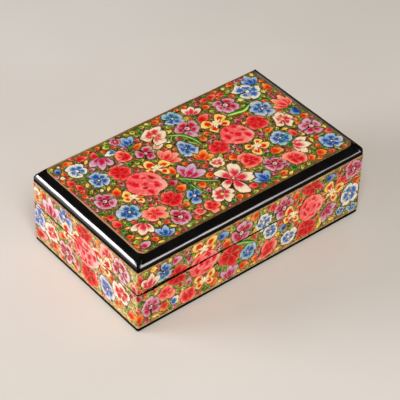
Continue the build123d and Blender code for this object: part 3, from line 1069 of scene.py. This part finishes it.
TOP_BLADES = [
    ([(-3, 24), (3, 20.2), (6.2, 14), (6.8, 7)], 3.1, "blade_pale"),
    ([(-1, 22.6), (-3.5, 20.5), (-4.6, 18)], 1.7, "blade"),
    ([(2.6, 14), (4, 11), (6, 7.6)], 1.8, "blade"),
    ([(-20.6, -6), (-18.7, -12), (-18, -20), (-15.8, -25.4)], 2.1, "blade"),
    ([(-20, -7), (-15, -12), (-10, -17), (-4.2, -21)], 2.5, "blade"),
    ([(33.5, 18.4), (39, 17.2), (44, 16.4), (49.5, 18.6)], 3.7, "blade_pale"),
]

FRONT_LAYOUT = {
    "lime": [
        (-71, 38, 3, 3.5), (-60.5, 26.5, 3.5, 2.5), (-68.7, 21.5, 3.5, 3), (-51, 14.3, 4, 3.5),
        (-15, 37.3, 4, 3.5), (6, 37.5, 3.6, 3), (5.5, 20, 4, 7), (20, 14, 5, 3), (67.3, 10, 3.5, 3),
        (47.5, 39, 3, 2), (59, 39, 3, 2),
    ],
    "green": [
        (-62, 29.3, 3.2, 2.6), (-55.3, 5.3, 2.5, 3), (-33, 5.5, 4, 2), (-22, 12.7, 3.6, 3),
        (-13, 13.7, 3, 2.4), (-10, 10.5, 3, 2.4), (13, 32.5, 3, 2.4), (14.5, 28, 2.5, 3),
        (31, 6, 6, 3.2, -35),
    ],
    "olive": [(60, 17.5, 3, 5), (60.8, 11.5, 2.6, 2), (27.5, 12.5, 2.5, 3)],
    "yellow_leaf": [
        (-66, 38, 4.5, 4), (-55.7, 38.5, 2.2, 3), (1.3, 4.5, 2.6, 2), (1.5, 27.5, 6, 4), (16.5, 16, 4, 3),
        (47.3, 8, 3.5, 9),
    ],
    "lime_ball": [(-46.5, 13.3, 3.8)],
    "orange_bud": [
        (-59.5, 8, 6, 6.5), (-26.5, 7.5, 6.5, 6), (-18.5, 29.5, 6, 6.5), (-6, 7.3, 6.5, 5),
        (1.5, 7.5, 7, 5), (-0.5, 37.3, 6.5, 5.5), (28.5, 36.5, 8, 4.5, 90), (73, 25, 8, 6, 10),
        (-74.5, 9.5, 9, 4.6, 80),
    ],
    "coral_bud": [(-74.5, 36, 3.6, 6), (11.3, 37, 6, 5.5), (30.5, 16, 3.6, 3.4), (-74.8, 28, 3.4, 3)],
    "crimson_bud": [(-65.5, 24.3, 4, 2.4), (49, 15.5, 4, 5), (-75, 23.3, 4.6, 4.4)],
    "mauve_bud": [
        (-51, 36, 7, 6, 0), (-43.5, 31.5, 4, 5), (-43.3, 17.3, 4, 5.5), (46.5, 33.5, 3.5, 5),
        (-24.3, 31.5, 3.2, 3),
    ],
    "blue_bud": [(-21, 36, 7.5, 5.5, 0), (20, 18.8, 5, 5), (53, 36.5, 7.5, 5, 0)],
    "cream_blue_bud": [(-51.5, 9, 7, 6.2, 0)],
    "coral": [(-58.5, 17.5, 6), (-43.5, 8.5, 5.8), (10.5, 9.5, 6.8), (62, 29, 6, 7)],
    "red_lined": [(-51, 25, 6.8), (-16, 20, 8), (39.5, 36.5, 7.5, 5), (38, 9.5, 7.5)],
    "white_blue": [(6, 30, 6.2), (11.5, 21, 5.5), (24.5, 10, 6), (68.5, 17.5, 7.5)],
    "blue": [(-59.5, 32.5, 4.8, 6.2), (-4, 15.5, 5.7), (62.3, 8, 3.2), (71, 6.5, 4.2, 3.2)],
    "mauve": [(-68, 13.5, 6.4, 7.4), (-9, 31, 8, 7), (20, 32.5, 7), (69.5, 34, 8, 6.4)],
    "mauve_tulip": [(-16, 3.6, 9.5, 90), (50, 15.5, 10, -45)],
    "cream_tulip": [(-69, 27, 9.6, 80)],
    "butterfly": [(-34, 33.5, 8, 90), (-33, 11.5, 7, 90), (26.5, 24, 7.5, 75), (54, 25, 8, 60)],
    "rose": [(-33.3, 24, 10, 7.7), (39.8, 22.8, 8.8, 8.6)],
}

FRONT_BLADES = [([(-12, 25), (-7, 23.5), (-3, 21.6), (1, 20.2)], 3.0, "blade_pale")]

LEFT_LAYOUT = {
    "lime": [
        (-37, 32, 3, 4), (-32, 22, 6, 4), (7.5, 38.5, 3, 2.6), (41, 35, 4, 3.6), (34, 6.5, 4, 5),
        (12, 6.5, 4, 5), (42.5, 18.5, 3, 4), (-11, 5, 3, 3.4), (-20.5, 28, 5, 4.4),
    ],
    "green": [(-21.5, 24, 3.5, 4), (-21.5, 16, 4, 3.4)],
    "yellow_leaf": [(-7.5, 38.5, 4, 3)],
    "orange_bud": [
        (-36, 36.5, 6, 5), (-19.5, 20, 6, 5), (-25.5, 8, 8, 5.5), (12.5, 37, 5, 4.6), (23.5, 29, 5, 4.6),
        (23, 21.5, 7, 5), (28, 7.5, 4, 3.6), (41, 8.5, 9, 6, 5),
    ],
    "coral_bud": [(-39, 28, 8, 4), (-37.5, 8, 11, 6.5, 15), (-6, 9, 4, 8), (41.5, 29, 5, 6)],
    "crimson_bud": [(-12, 18.5, 4, 3.6), (9, 32.5, 3.5, 4), (38.5, 21.5, 4, 3.5)],
    "cream_bud": [(-41.5, 36, 4.6, 6.5, 90)],
    "coral": [(20.5, 35.2, 6.6, 5.6)],
    "red_lined": [(0, 35.8, 7.6, 5.4), (3.5, 10, 7.5, 7)],
    "blue": [(-40, 19, 6, 8.6), (19.5, 11.5, 7.2)],
    "blue_trio": [(-17.5, 34.8, 7.8)],
    "mauve": [(31, 33, 8.4, 7.4), (-15.5, 10.8, 7.2, 7)],
    "mauve_tulip": [(-28.5, 27, 12, 95)],
    "cream": [(-28.3, 15.8, 6.4, 6.8), (32, 17.2, 8, 7.6)],
    "butterfly": [(-11.5, 25.5, 8, 90), (15, 26, 8.6, 90)],
    "rose": [(2, 23.3, 10.8, 8.5)],
}


# ---------------------------------------------------------------- charts put on the box

def uneven(x, y):
    """The board's own gentle unevenness, in mm."""
    return 0.05 * np.sin(x / 11 + 1.3) * np.cos(y / 9 + 0.4) + 0.03 * np.sin(x / 5.3 + y / 7.1)


def on_lid(points):
    """A chart point (x, y, height) on the top of the lid."""
    x, y, height = points.T
    return np.column_stack([x, y, TOP + 0.1 + uneven(x, y) + height]) * MM


def on_walls(points):
    """A strip point (distance round the walls, z, height) on the outside of the walls."""
    along, z, height = points.T
    along = along % PERIMETER
    placed = np.zeros((len(points), 3))
    corners = {
        "left": (-HALF_LENGTH, 0, HALF_WIDTH),
        "front": (0, -HALF_WIDTH, HALF_LENGTH),
        "right": (HALF_LENGTH, 0, HALF_WIDTH),
        "back": (0, HALF_WIDTH, HALF_LENGTH),
    }
    for wall, (start, end) in WALLS.items():
        here = (along >= start) & (along <= end)
        x, y, half = corners[wall]
        out = np.array([x, y]) / math.hypot(x, y)
        way = np.array([-out[1], out[0]])
        run = along[here] - (start + end) / 2
        straight = np.clip(run, CORNER - half, half - CORNER)
        turn = (run - straight) / CORNER * (math.pi / 4)
        facing = np.cos(turn)[:, None] * out + np.sin(turn)[:, None] * way
        hub = np.array([x, y]) - CORNER * out + straight[:, None] * way
        eased = np.maximum(SEAM_EASE - np.abs(z[here] - SEAM), 0)
        rise = CORNER + 0.02 + height[here] + 0.4 * uneven(run, z[here]) - eased
        placed[here, :2] = hub + rise[:, None] * facing
    placed[:, 2] = z
    return placed * MM


def gather(patches):
    """Many patches as one list of points, faces and paint."""
    starts = np.cumsum([0] + [len(patch["points"]) for patch in patches])
    faces, skirt = [], []
    for start, patch in zip(starts, patches):
        faces += [tuple(int(start) + i for i in face) for face in patch["faces"]]
        skirt += patch["skirt"]
    points = np.concatenate([patch["points"] for patch in patches])
    keys = ("brush", "rim", "core", "line", "spread")
    return points, faces, skirt, {key: np.concatenate([patch[key] for patch in patches]) for key in keys}


def bisect(shape, place, normal, clear=False, near=0.0):
    """Cuts a flat shape along a line, clears the far side if asked, and returns what lies on the cut."""
    everything = shape.verts[:] + shape.edges[:] + shape.faces[:]
    return bmesh.ops.bisect_plane(shape, geom=everything, dist=near, plane_co=(*place, 0),
                                  plane_no=(*normal, 0), clear_outer=clear)["geom_cut"]


def grow_skirt(shape, edges, depth):
    for item in bmesh.ops.extrude_edge_only(shape, edges=edges)["geom"]:
        if isinstance(item, bmesh.types.BMVert):
            item.co.z = depth
        elif isinstance(item, bmesh.types.BMFace):
            item.smooth = False


def cut_mesh(mesh, cuts):
    """Cuts a flat mesh along lines given as (place, normal, clear). A cleared edge gets a skirt."""
    shape = bmesh.new()
    shape.from_mesh(mesh)
    for place, normal, clear in cuts:
        on_cut = bisect(shape, place, normal, clear, 1e-4)
        if clear:
            rims = [e for e in on_cut if isinstance(e, bmesh.types.BMEdge) and e.is_boundary]
            grow_skirt(shape, [e for e in rims if max(v.co.z for v in e.verts) > 0], Chart.SKIRT)
    shape.to_mesh(mesh)
    shape.free()


def read(items, field, width=1, kind=float):
    """One value, or a row of width values, for every vertex, corner or face."""
    values = np.zeros(len(items) * width, kind)
    items.foreach_get(field, values)
    return values.reshape(-1, width) if width > 1 else values


def read_points(mesh):
    return read(mesh.vertices, "co", 3)


def unwrap(mesh, flat, low, high, rows=1):
    """Lays a flat mesh out in rows, one above the other, so that its baked picture is sharp."""
    corners = read(mesh.loops, "vertex_index", kind=np.int32)
    totals = read(mesh.polygons, "loop_total", kind=np.int32)
    along = (read(mesh.polygons, "center", 3)[:, 0] - low[0]) / (high[0] - low[0]) * rows
    row = np.repeat(np.clip(along.astype(int), 0, rows - 1), totals)
    u = (flat[corners, 0] - low[0]) / (high[0] - low[0]) * rows - row
    v = (flat[corners, 1] - low[1]) / (high[1] - low[1])
    margin = 0.012
    uv = np.column_stack([u * (1 - 2 * margin) + margin, (row + v * (1 - 4 * margin) + 2 * margin) / rows])
    mesh.uv_layers.new(name="OFBake").data.foreach_set("uv", uv.ravel())


def add_object(name, data):
    made = bpy.data.objects.new(name, data)
    bpy.context.scene.collection.objects.link(made)
    return made


def finish_piece(name, mesh, material, body):
    mesh.materials.append(material)
    piece = add_object(name, mesh)
    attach(piece, body)
    return piece


def flat_mesh(name, points, faces, skirt, attributes=None):
    mesh = bpy.data.meshes.new(name)
    mesh.from_pydata(points, [], faces)
    mesh.polygons.foreach_set("use_smooth", [not steep for steep in skirt])
    for key, values in (attributes or {}).items():
        kind, field = ("FLOAT_COLOR", "color") if values.shape[1] == 4 else ("FLOAT_VECTOR", "vector")
        mesh.attributes.new(key, kind, "POINT").data.foreach_set(field, values.ravel())
    return mesh


def put(mesh, place):
    """Moves a flat mesh's points to their places on the box."""
    mesh.vertices.foreach_set("co", place(read_points(mesh)).ravel())
    mesh.update()


def painting(name, patches, place, low, high, material, body, splits=(), bends=(), rows=1):
    """The petals inside low and high on a chart, trimmed there, as one piece on the box."""
    mesh = flat_mesh(name, *gather(patches))
    cuts = [((x, 0), (1, 0), False) for x in splits] + [((0, y), (0, 1), False) for y in bends]
    cuts += [((low[0], 0), (-1, 0), True), ((high[0], 0), (1, 0), True)]
    cuts += [((0, low[1]), (0, -1), True), ((0, high[1]), (0, 1), True)]
    cut_mesh(mesh, cuts)
    unwrap(mesh, read_points(mesh), low, high, rows)
    put(mesh, place)
    return finish_piece(name, mesh, material, body)


# ---------------------------------------------------------------- painted lines

RIBBON_COLUMNS = np.array([-1, -1, -0.7, 0, 0.7, 1, 1.0])


def wave(distance, total, size, seed, terms=(3, 7, 13, 29)):
    """A smooth uneven line round a closed path: whole waves of falling size."""
    rand = random.Random(seed)
    made = 0
    for index, turns in enumerate(terms):
        phase = rand.uniform(0, 2 * math.pi)
        made = made + size / (index + 1) ** 0.7 * np.sin(2 * math.pi * turns * distance / total + phase)
    return made


def ribbon(name, path, normals, half, height, place, material, body):
    """A closed line of thick paint along a chart path, half wide to each side."""
    flat = path[:, None] + normals[:, None] * (half[:, None] * RIBBON_COLUMNS)[..., None]
    columns = np.tile(RIBBON_COLUMNS, len(path))
    rise = height * (1 - 0.35 * columns ** 2)
    ends = np.arange(len(rise)) % len(RIBBON_COLUMNS)
    rise[(ends == 0) | (ends == len(RIBBON_COLUMNS) - 1)] = Chart.SKIRT
    faces, skirt = strip_faces(len(path), len(RIBBON_COLUMNS), closed=True)
    mesh = flat_mesh(name, np.column_stack([flat.reshape(-1, 2), rise]), faces, skirt)
    put(mesh, place)
    return finish_piece(name, mesh, material, body)


def rounded_rectangle(half_length, half_width, radius, spacing=1.0):
    """Points round a rounded rectangle, anticlockwise, with their distance along it."""
    points = []
    for corner, (x, y) in enumerate(((1, -1), (1, 1), (-1, 1), (-1, -1))):
        hub = np.array([x * (half_length - radius), y * (half_width - radius)])
        for turn in np.linspace(corner * 90 - 90, corner * 90, max(5, int(radius * 2.5))):
            angle = math.radians(turn)
            points.append(hub + radius * np.array([math.cos(angle), math.sin(angle)]))
    points = np.array(points + points[:1])
    run = np.concatenate([[0], np.cumsum(np.linalg.norm(np.diff(points, axis=0), axis=1))])
    even = np.arange(0, run[-1] - spacing / 2, spacing)
    path = np.column_stack([np.interp(even, run, points[:, k]) for k in (0, 1)])
    return path, even, run[-1]


def wall_distances():
    """Stations round the strip, closer together at the corners."""
    stations = []
    for start, end in WALLS.values():
        turns = [start + CORNER * share for share in (0, 0.25, 0.5, 0.75)]
        straight = list(np.arange(start + CORNER, end - CORNER, 1.0))
        stations += turns + straight + [end - CORNER * share for share in (1, 0.75, 0.5, 0.25)]
    return np.array(sorted(set(round(s, 4) for s in stations)))


# ---------------------------------------------------------------- the paintings

def paint_lid_top():
    margin = 2
    chart = Chart([low - margin for low in PANEL_LOW], [high + margin for high in PANEL_HIGH], seed=11)
    lay_ground_limits(chart)
    grow_vines(chart, (-70, -40), (70, 40), count=300)
    lay(chart, TOP_LAYOUT)
    for points, width, style in TOP_BLADES:
        chart.blade(points, width, style)
    fill_gaps(chart)
    hatch(chart, 9000, PANEL_LOW, PANEL_HIGH)
    painting("top_flowers", chart.patches, on_lid, PANEL_LOW, PANEL_HIGH, TOP_PAINT, "lid")


# How far fillers keep from the edge of the lid's panel, and from the top and foot of the walls.
KEEP_FROM_PANEL_EDGE = 0.7
KEEP_FROM_WALL_EDGE = 0.9
# The walls' flowers end this far from the walls' top and foot.
WALL_MARGIN = 0.3


def lay_ground_limits(chart):
    """Keeps the fillers of the lid's chart inside its gold line."""
    x, y = (chart.low[k] + (np.arange(chart.cells[k]) + 0.5) * chart.CELL for k in (0, 1))
    past_x = np.maximum(np.abs(x) - (PANEL_HALF_LENGTH - PANEL_CORNER), 0)
    past_y = np.maximum(np.abs(y) - (PANEL_HALF_WIDTH - PANEL_CORNER), 0)
    chart.taken |= np.hypot(past_x[:, None], past_y[None]) > PANEL_CORNER - KEEP_FROM_PANEL_EDGE


GROUND_GRID = 4.0
GROUND_SKIRT = -0.2


def lay_top_ground():
    """The lid's painted ground: a thin sheet with a rounded outline, as uneven as the board."""
    edge, _, _ = rounded_rectangle(*PANEL_HIGH, PANEL_CORNER, 2.0)
    shape = bmesh.new()
    shape.faces.new([shape.verts.new((x, y, 0)) for x, y in edge])
    for x in np.arange(-PANEL_HALF_LENGTH, PANEL_HALF_LENGTH, GROUND_GRID):
        bisect(shape, (x, 0), (1, 0))
    for y in np.arange(-PANEL_HALF_WIDTH, PANEL_HALF_WIDTH, GROUND_GRID):
        bisect(shape, (0, y), (0, 1))
    grow_skirt(shape, [e for e in shape.edges if e.is_boundary], GROUND_SKIRT)
    for face in shape.faces:
        face.smooth = abs(face.normal.z) > 0.5
    mesh = bpy.data.meshes.new("top_ground")
    shape.to_mesh(mesh)
    shape.free()
    unwrap(mesh, read_points(mesh), PANEL_LOW, PANEL_HIGH)
    put(mesh, on_lid)
    finish_piece("top_ground", mesh, lid_ground(), "lid")


def draw_top_line():
    inset_length, inset_width = PANEL_HALF_LENGTH - LINE_HALF, PANEL_HALF_WIDTH - LINE_HALF
    path, run, total = rounded_rectangle(inset_length, inset_width, PANEL_CORNER)
    path = path - path_normals(path, closed=True) * wave(run, total, 0.12, 3)[:, None]
    half = LINE_HALF + wave(run, total, 0.07, 4)
    normals = path_normals(path, closed=True)
    ribbon("top_gold_line", path, normals, half, 0.13, on_lid, top_line_gold_with_sheen(), "lid")


def paint_walls():
    """One chart round all four walls, cut at the corners and at the seam into eight paintings."""
    chart = Chart((0, 0), (PERIMETER, WALL_HIGH + 3), seed=23, period=PERIMETER)
    rows = chart.low[1] + (np.arange(chart.cells[1]) + 0.5) * chart.CELL
    low, high = WALL_LOW + KEEP_FROM_WALL_EDGE, WALL_HIGH - KEEP_FROM_WALL_EDGE
    chart.taken[:, (rows < low) | (rows > high)] = True
    grow_vines(chart, (0, WALL_LOW), (PERIMETER, WALL_HIGH), count=620)
    for side, walls in ((1, ("left", "front")), (-1, ("right", "back"))):
        for wall, layout in zip(walls, (LEFT_LAYOUT, FRONT_LAYOUT)):
            lay(chart, layout, middle(wall), side)
    for points, width, style in FRONT_BLADES:
        chart.blade([(middle("front") + x, z) for x, z in points], width, style)
    fill_gaps(chart, smallest=0.9)
    hatch(chart, 16000, (0, WALL_LOW), (PERIMETER, WALL_HIGH))
    for wall, (start, end) in WALLS.items():
        near = wall_patches(chart, start, end)
        halfway = (start + end) / 2
        corners = ((start, CORNER), (end, -CORNER))
        turns = [corner + reach * share for corner, reach in corners for share in (0.33, 0.67, 1)]
        for body, low, high, bend in (
            ("base", WALL_LOW + WALL_MARGIN, SEAM - SEAM_GAP, SEAM - SEAM_EASE),
            ("lid", SEAM + SEAM_GAP, WALL_HIGH - WALL_MARGIN, SEAM + SEAM_EASE),
        ):
            painting(f"{wall}_{body}_flowers", near, on_walls, (start, low), (end, high), WALL_PAINT, body,
                     splits=[*turns, halfway], bends=[bend], rows=2)


def wall_patches(chart, start, end):
    """The patches that reach into one wall's stretch of the strip, moved round where they wrap."""
    near = []
    for patch in chart.patches:
        for shift in (-PERIMETER, 0, PERIMETER):
            along = patch["points"][:, 0] + shift
            if along.max() > start and along.min() < end:
                near.append({**patch, "points": patch["points"] + (shift, 0, 0)})
    return near


# How wide the painted shade in the seam's gap is, in mm, at places along the strip.
SEAM_SHADE_WIDTHS = ((0, 0.08), (84, 0.08), (91, 0.16), (96, 0.42), (120, 0.36), (134, 0.22), (158, 0.16), (176, 0.1),
         (190, 0.02), (236, 0.01), (300, 0.07), (360, 0.11), (420, 0.08), (PERIMETER, 0.08))


def draw_wall_lines():
    """Gold lines along the top and foot of the walls, painted shade in the seam's gap, and below it a pale
    line: worn lips and painted highlight.
    """
    run = wall_distances()
    seam_shade_width = np.interp(run, *zip(*SEAM_SHADE_WIDTHS))
    upward = np.tile((0.0, 1.0), (len(run), 1))
    # Each line's height, half width and thickness are in mm.
    for name, body, height, half, thick, seed, material in (
        ("lid_gold_line", "lid", WALL_HIGH - 0.6, 0.55, 0.15, 5, GOLD),
        ("base_gold_line", "base", WALL_LOW + 0.48, 0.45, 0.15, 6, GOLD),
        ("base_seam_worn_lip_and_highlight", "base", SEAM - 0.24 - 2 * seam_shade_width, 0.16, 0.15, 8, WORN_LIP_AND_HIGHLIGHT),
        ("lid_seam_painted_shade", "lid", SEAM + SEAM_GAP + seam_shade_width, seam_shade_width + 0.02, 0.36, 7, PAINTED_SEAM_SHADE),
        ("base_seam_painted_shade", "base", SEAM - SEAM_GAP - seam_shade_width, seam_shade_width + 0.02, 0.36, 9, PAINTED_SEAM_SHADE),
    ):
        path = np.column_stack([run, height + wave(run, PERIMETER, 0.04, seed)])
        widths = half * (1 + wave(run, PERIMETER, 0.16, seed + 10))
        ribbon(name, path, upward, widths, thick, on_walls, material, body)


paint_lid_top()
lay_top_ground()
draw_top_line()
paint_walls()
draw_wall_lines()


# ---------------------------------------------------------------- the black rim of the lid

# Each ring of the rim: its height and how far inside the plan it lies, at the ends and then at the
# sides, and how much the hand-made unevenness moves it.
RIM_RINGS = (
    (WALL_HIGH, 0.4, WALL_HIGH, 0.4, 0),
    (WALL_HIGH + 0.03, 0.06, WALL_HIGH + 0.03, 0.06, 0.2),
    (WALL_HIGH + 0.2, 0, WALL_HIGH + 0.2, 0, 0.3),
    (43.0, 0, 42.6, 0, 0.4),
    (43.6, 0.04, 43.05, 0.03, 0.7),
    (44.1, 0.21, 43.35, 0.13, 0.9),
    (44.45, 0.43, 43.6, 0.26, 1.0),
    (44.95, 0.8, 43.87, 0.405, 1.0),
    (45.4, 1.14, 44.14, 0.55, 1.0),
    (45.7, 1.44, 44.4, 0.73, 0.9),
    (46.05, 1.9, 44.95, 1.12, 0.8),
    (47.0, 3.2, 46.1, 1.95, 0.6),
    (47.75, 4.35, 47.5, 2.88, 0.4),
    (TOP, 4.78, TOP, 3.38, 0.2),
)
# The rings of the ends rise by this much from the box's middle to the back.
RIM_LEAN = 0.14
# Along the sides the facet narrows from left to right, by the rings between these heights.
FACET_LOW = 43.35
FACET_HIGH = 45.2
FACET_INSET = 0.13
FACET_NARROWS = 0.28
# How much higher the rings of the right end lie.
RIGHT_RAISE = 0.75
# How far the hand-made waves and the fine ripples move the rim, in mm.
RIM_WAVE = 0.09
RIM_RIPPLE = 0.007


def shape_rim():
    """The lid's board: an upright edge, a narrow worn facet and a slope up to the panel."""
    rings = []
    for index, (end_height, end_inset, side_height, side_inset, share) in enumerate(RIM_RINGS):
        path, run, sideways = even_rectangle(HALF_LENGTH - end_inset, HALF_WIDTH - side_inset, CORNER)
        inward = path_normals(path, closed=True)
        total = run[-1] + 1.5
        inset = RIM_WAVE * share * (1 + wave(run, total, 0.6, 31, (5, 13, 29)))
        inset += RIM_RIPPLE * share * wave(run, total, 0.6, 41 + index, (37, 61))
        lean = RIM_LEAN * share * (1 - sideways) * path[:, 1] / HALF_WIDTH
        narrowing = FACET_NARROWS * sideways * path[:, 0] / HALF_LENGTH if side_height < FACET_HIGH else 0
        side = side_height - max(side_height - FACET_LOW, 0) * narrowing
        inset = np.maximum(inset, 0) - max(side_inset - FACET_INSET, 0) * narrowing
        lean = lean + RIGHT_RAISE * share ** 2 * (1 - sideways) * (path[:, 0] > 0)
        settle = RIM_WAVE * share * wave(run, total, 0.6, 51, (4, 11, 23))
        height = end_height + (side - end_height) * sideways + lean - np.abs(settle)
        rings.append(np.column_stack([path + inward * inset[:, None], np.minimum(height, TOP)]))
    around = len(path)
    faces = []
    for ring in range(len(rings) - 1):
        low, high = ring * around, (ring + 1) * around
        faces += [(low + i, low + (i + 1) % around, high + (i + 1) % around, high + i) for i in range(around)]
    faces.append(tuple(range(around))[::-1])
    faces.append(tuple((len(rings) - 1) * around + i for i in range(around)))
    flat_faces = [False] * (len(faces) - 2) + [True, True]
    mesh = flat_mesh("lid_board", np.concatenate(rings) * MM, faces, flat_faces)
    board = finish_piece("lid_board", mesh, LACQUER, "lid")
    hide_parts("lid_panel")


def even_rectangle(half_length, half_width, radius):
    """The same number of points round any rounded rectangle, so that rings join point to point.

    Also gives each point's distance along it, and 1 for the sides, 0 for the ends and between at corners.
    """
    points, sideways = [], []
    corners = ((1, -1), (1, 1), (-1, 1), (-1, -1))
    for index, (x, y) in enumerate(corners):
        from_side = index % 2 == 0
        hub = np.array([x * (half_length - radius), y * (half_width - radius)])
        arc = np.radians(np.linspace(index * 90 - 90, index * 90, 9))
        points += [hub + radius * np.array([math.cos(a), math.sin(a)]) for a in arc]
        sideways += list(np.linspace(1, 0, 9) if from_side else np.linspace(0, 1, 9))
        ahead = corners[(index + 1) % 4]
        goal = np.array([ahead[0] * (half_length - radius), ahead[1] * (half_width - radius)])
        out = radius * np.array([math.cos(arc[-1]), math.sin(arc[-1])])
        pieces = 70 if from_side else 120
        points += [hub + out + (goal - hub) * step / pieces for step in range(1, pieces)]
        sideways += [0.0 if from_side else 1.0] * (pieces - 1)
    path = np.array(points)
    run = np.concatenate([[0], np.cumsum(np.linalg.norm(np.diff(path, axis=0), axis=1))])
    return path, run, np.array(sideways)


# ---------------------------------------------------------------- the boards

def finish_board(node, material):
    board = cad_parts[node]
    board.data.materials.clear()
    board.data.materials.append(material)


WALL_FINISH = painted_wall()
for node_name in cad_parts:
    finish_board(node_name, WALL_FINISH if "wall" in node_name else LACQUER)
shape_rim()


# ---------------------------------------------------------------- floor, light and camera

# Half the floor's length and width, in metres.
FLOOR_HALF = 1.6
# The camera, fitted to the box's edges in the photo: degrees, and mm for the places and the lens.
CAMERA_YAW = 40.60
CAMERA_PITCH = 40.82
CAMERA_ROLL = 2.02
CAMERA_DISTANCE = 874.9
CAMERA_LENS = 147.56
CAMERA_SENSOR = 36
CAMERA_AIM = (0, 0, 23.75)
CAMERA_ASIDE = -0.188
CAMERA_BELOW = 4.349


def lay_floor():
    shader = Shader("pale_floor", Roughness=0.9, Specular_IOR_Level=0.0)
    cloud = shader.noise(shader.place(), 0.004, 3.0)
    tone = shader.mix(shader.step(cloud, 0.3, 0.7), srgb(214, 208, 200), srgb(222, 217, 210))
    shader.set("Base Color", tone)
    mesh = bpy.data.meshes.new("floor")
    corners = [(x * FLOOR_HALF, y * FLOOR_HALF, 0) for x, y in ((-1, -1), (1, -1), (1, 1), (-1, 1))]
    mesh.from_pydata(corners, [], [(0, 1, 2, 3)])
    mesh.materials.append(shader.material)
    floor = add_object("floor", mesh)


def softbox(name, direction, distance, width, height, watts, tint=(1, 1, 1), spread=180):
    """A soft lamp seen from the box's middle in that direction, in metres. A low spread keeps to the box."""
    lamp = bpy.data.lights.new(name, "AREA")
    lamp.shape = "RECTANGLE"
    lamp.size = width
    lamp.size_y = height
    lamp.energy = watts
    lamp.spread = math.radians(spread)
    lamp.color = tint
    holder = add_object(name, lamp)
    away = Vector(direction).normalized()
    holder.location = away * distance + Vector((0, 0, TOP / 2 * MM))
    holder.rotation_euler = (-away).to_track_quat("-Z", "Y").to_euler()


def light():
    softbox("window", (-0.765, 0.575, 0.3), 1.2, 0.8, 0.28, 2.6, (0.98, 0.96, 1.0), 80)
    softbox("window_haze", (-0.8, 0.58, 0.08), 1.4, 0.7, 0.2, 0.48, (0.9, 0.84, 1.0), 80)
    softbox("horizon", (0.493, -0.866, 0.095), 1.5, 1.0, 0.2, 1.3, (0.98, 0.92, 0.95), 80)
    softbox("fill", (0.86, 0.5, 0.12), 1.6, 0.5, 0.3, 0.9, (1.0, 0.97, 0.94), 80)
    softbox("key", (-0.34, -0.5, 0.8), 1.6, 0.7, 0.65, 18.1, (1.0, 0.975, 0.93))
    world = bpy.data.worlds.new("studio")
    bpy.context.scene.world = world
    world.use_nodes = True
    background = world.node_tree.nodes["Background"]
    background.inputs["Color"].default_value = (1.0, 0.98, 0.95, 1)
    background.inputs["Strength"].default_value = 0.16


def place_camera():
    yaw, pitch, roll = (math.radians(a) for a in (CAMERA_YAW, CAMERA_PITCH, CAMERA_ROLL))
    ahead = Vector((math.sin(yaw) * math.cos(pitch), math.cos(yaw) * math.cos(pitch), -math.sin(pitch)))
    level = Vector((math.cos(yaw), -math.sin(yaw), 0))
    upright = level.cross(ahead)
    right = math.cos(roll) * level + math.sin(roll) * upright
    up = -math.sin(roll) * level + math.cos(roll) * upright
    spot = Vector(CAMERA_AIM) - ahead * CAMERA_DISTANCE - right * CAMERA_ASIDE - up * CAMERA_BELOW
    camera = add_object("camera", bpy.data.cameras.new("camera"))
    camera.data.lens = CAMERA_LENS
    camera.data.sensor_width = CAMERA_SENSOR
    turned = Matrix((right, up, -ahead)).transposed().to_4x4()
    camera.matrix_world = Matrix.Translation(spot * MM) @ turned
    bpy.context.scene.camera = camera


lay_floor()
light()
place_camera()
bpy.context.scene.view_settings.view_transform = "Standard"

bpy.context.view_layer.update()
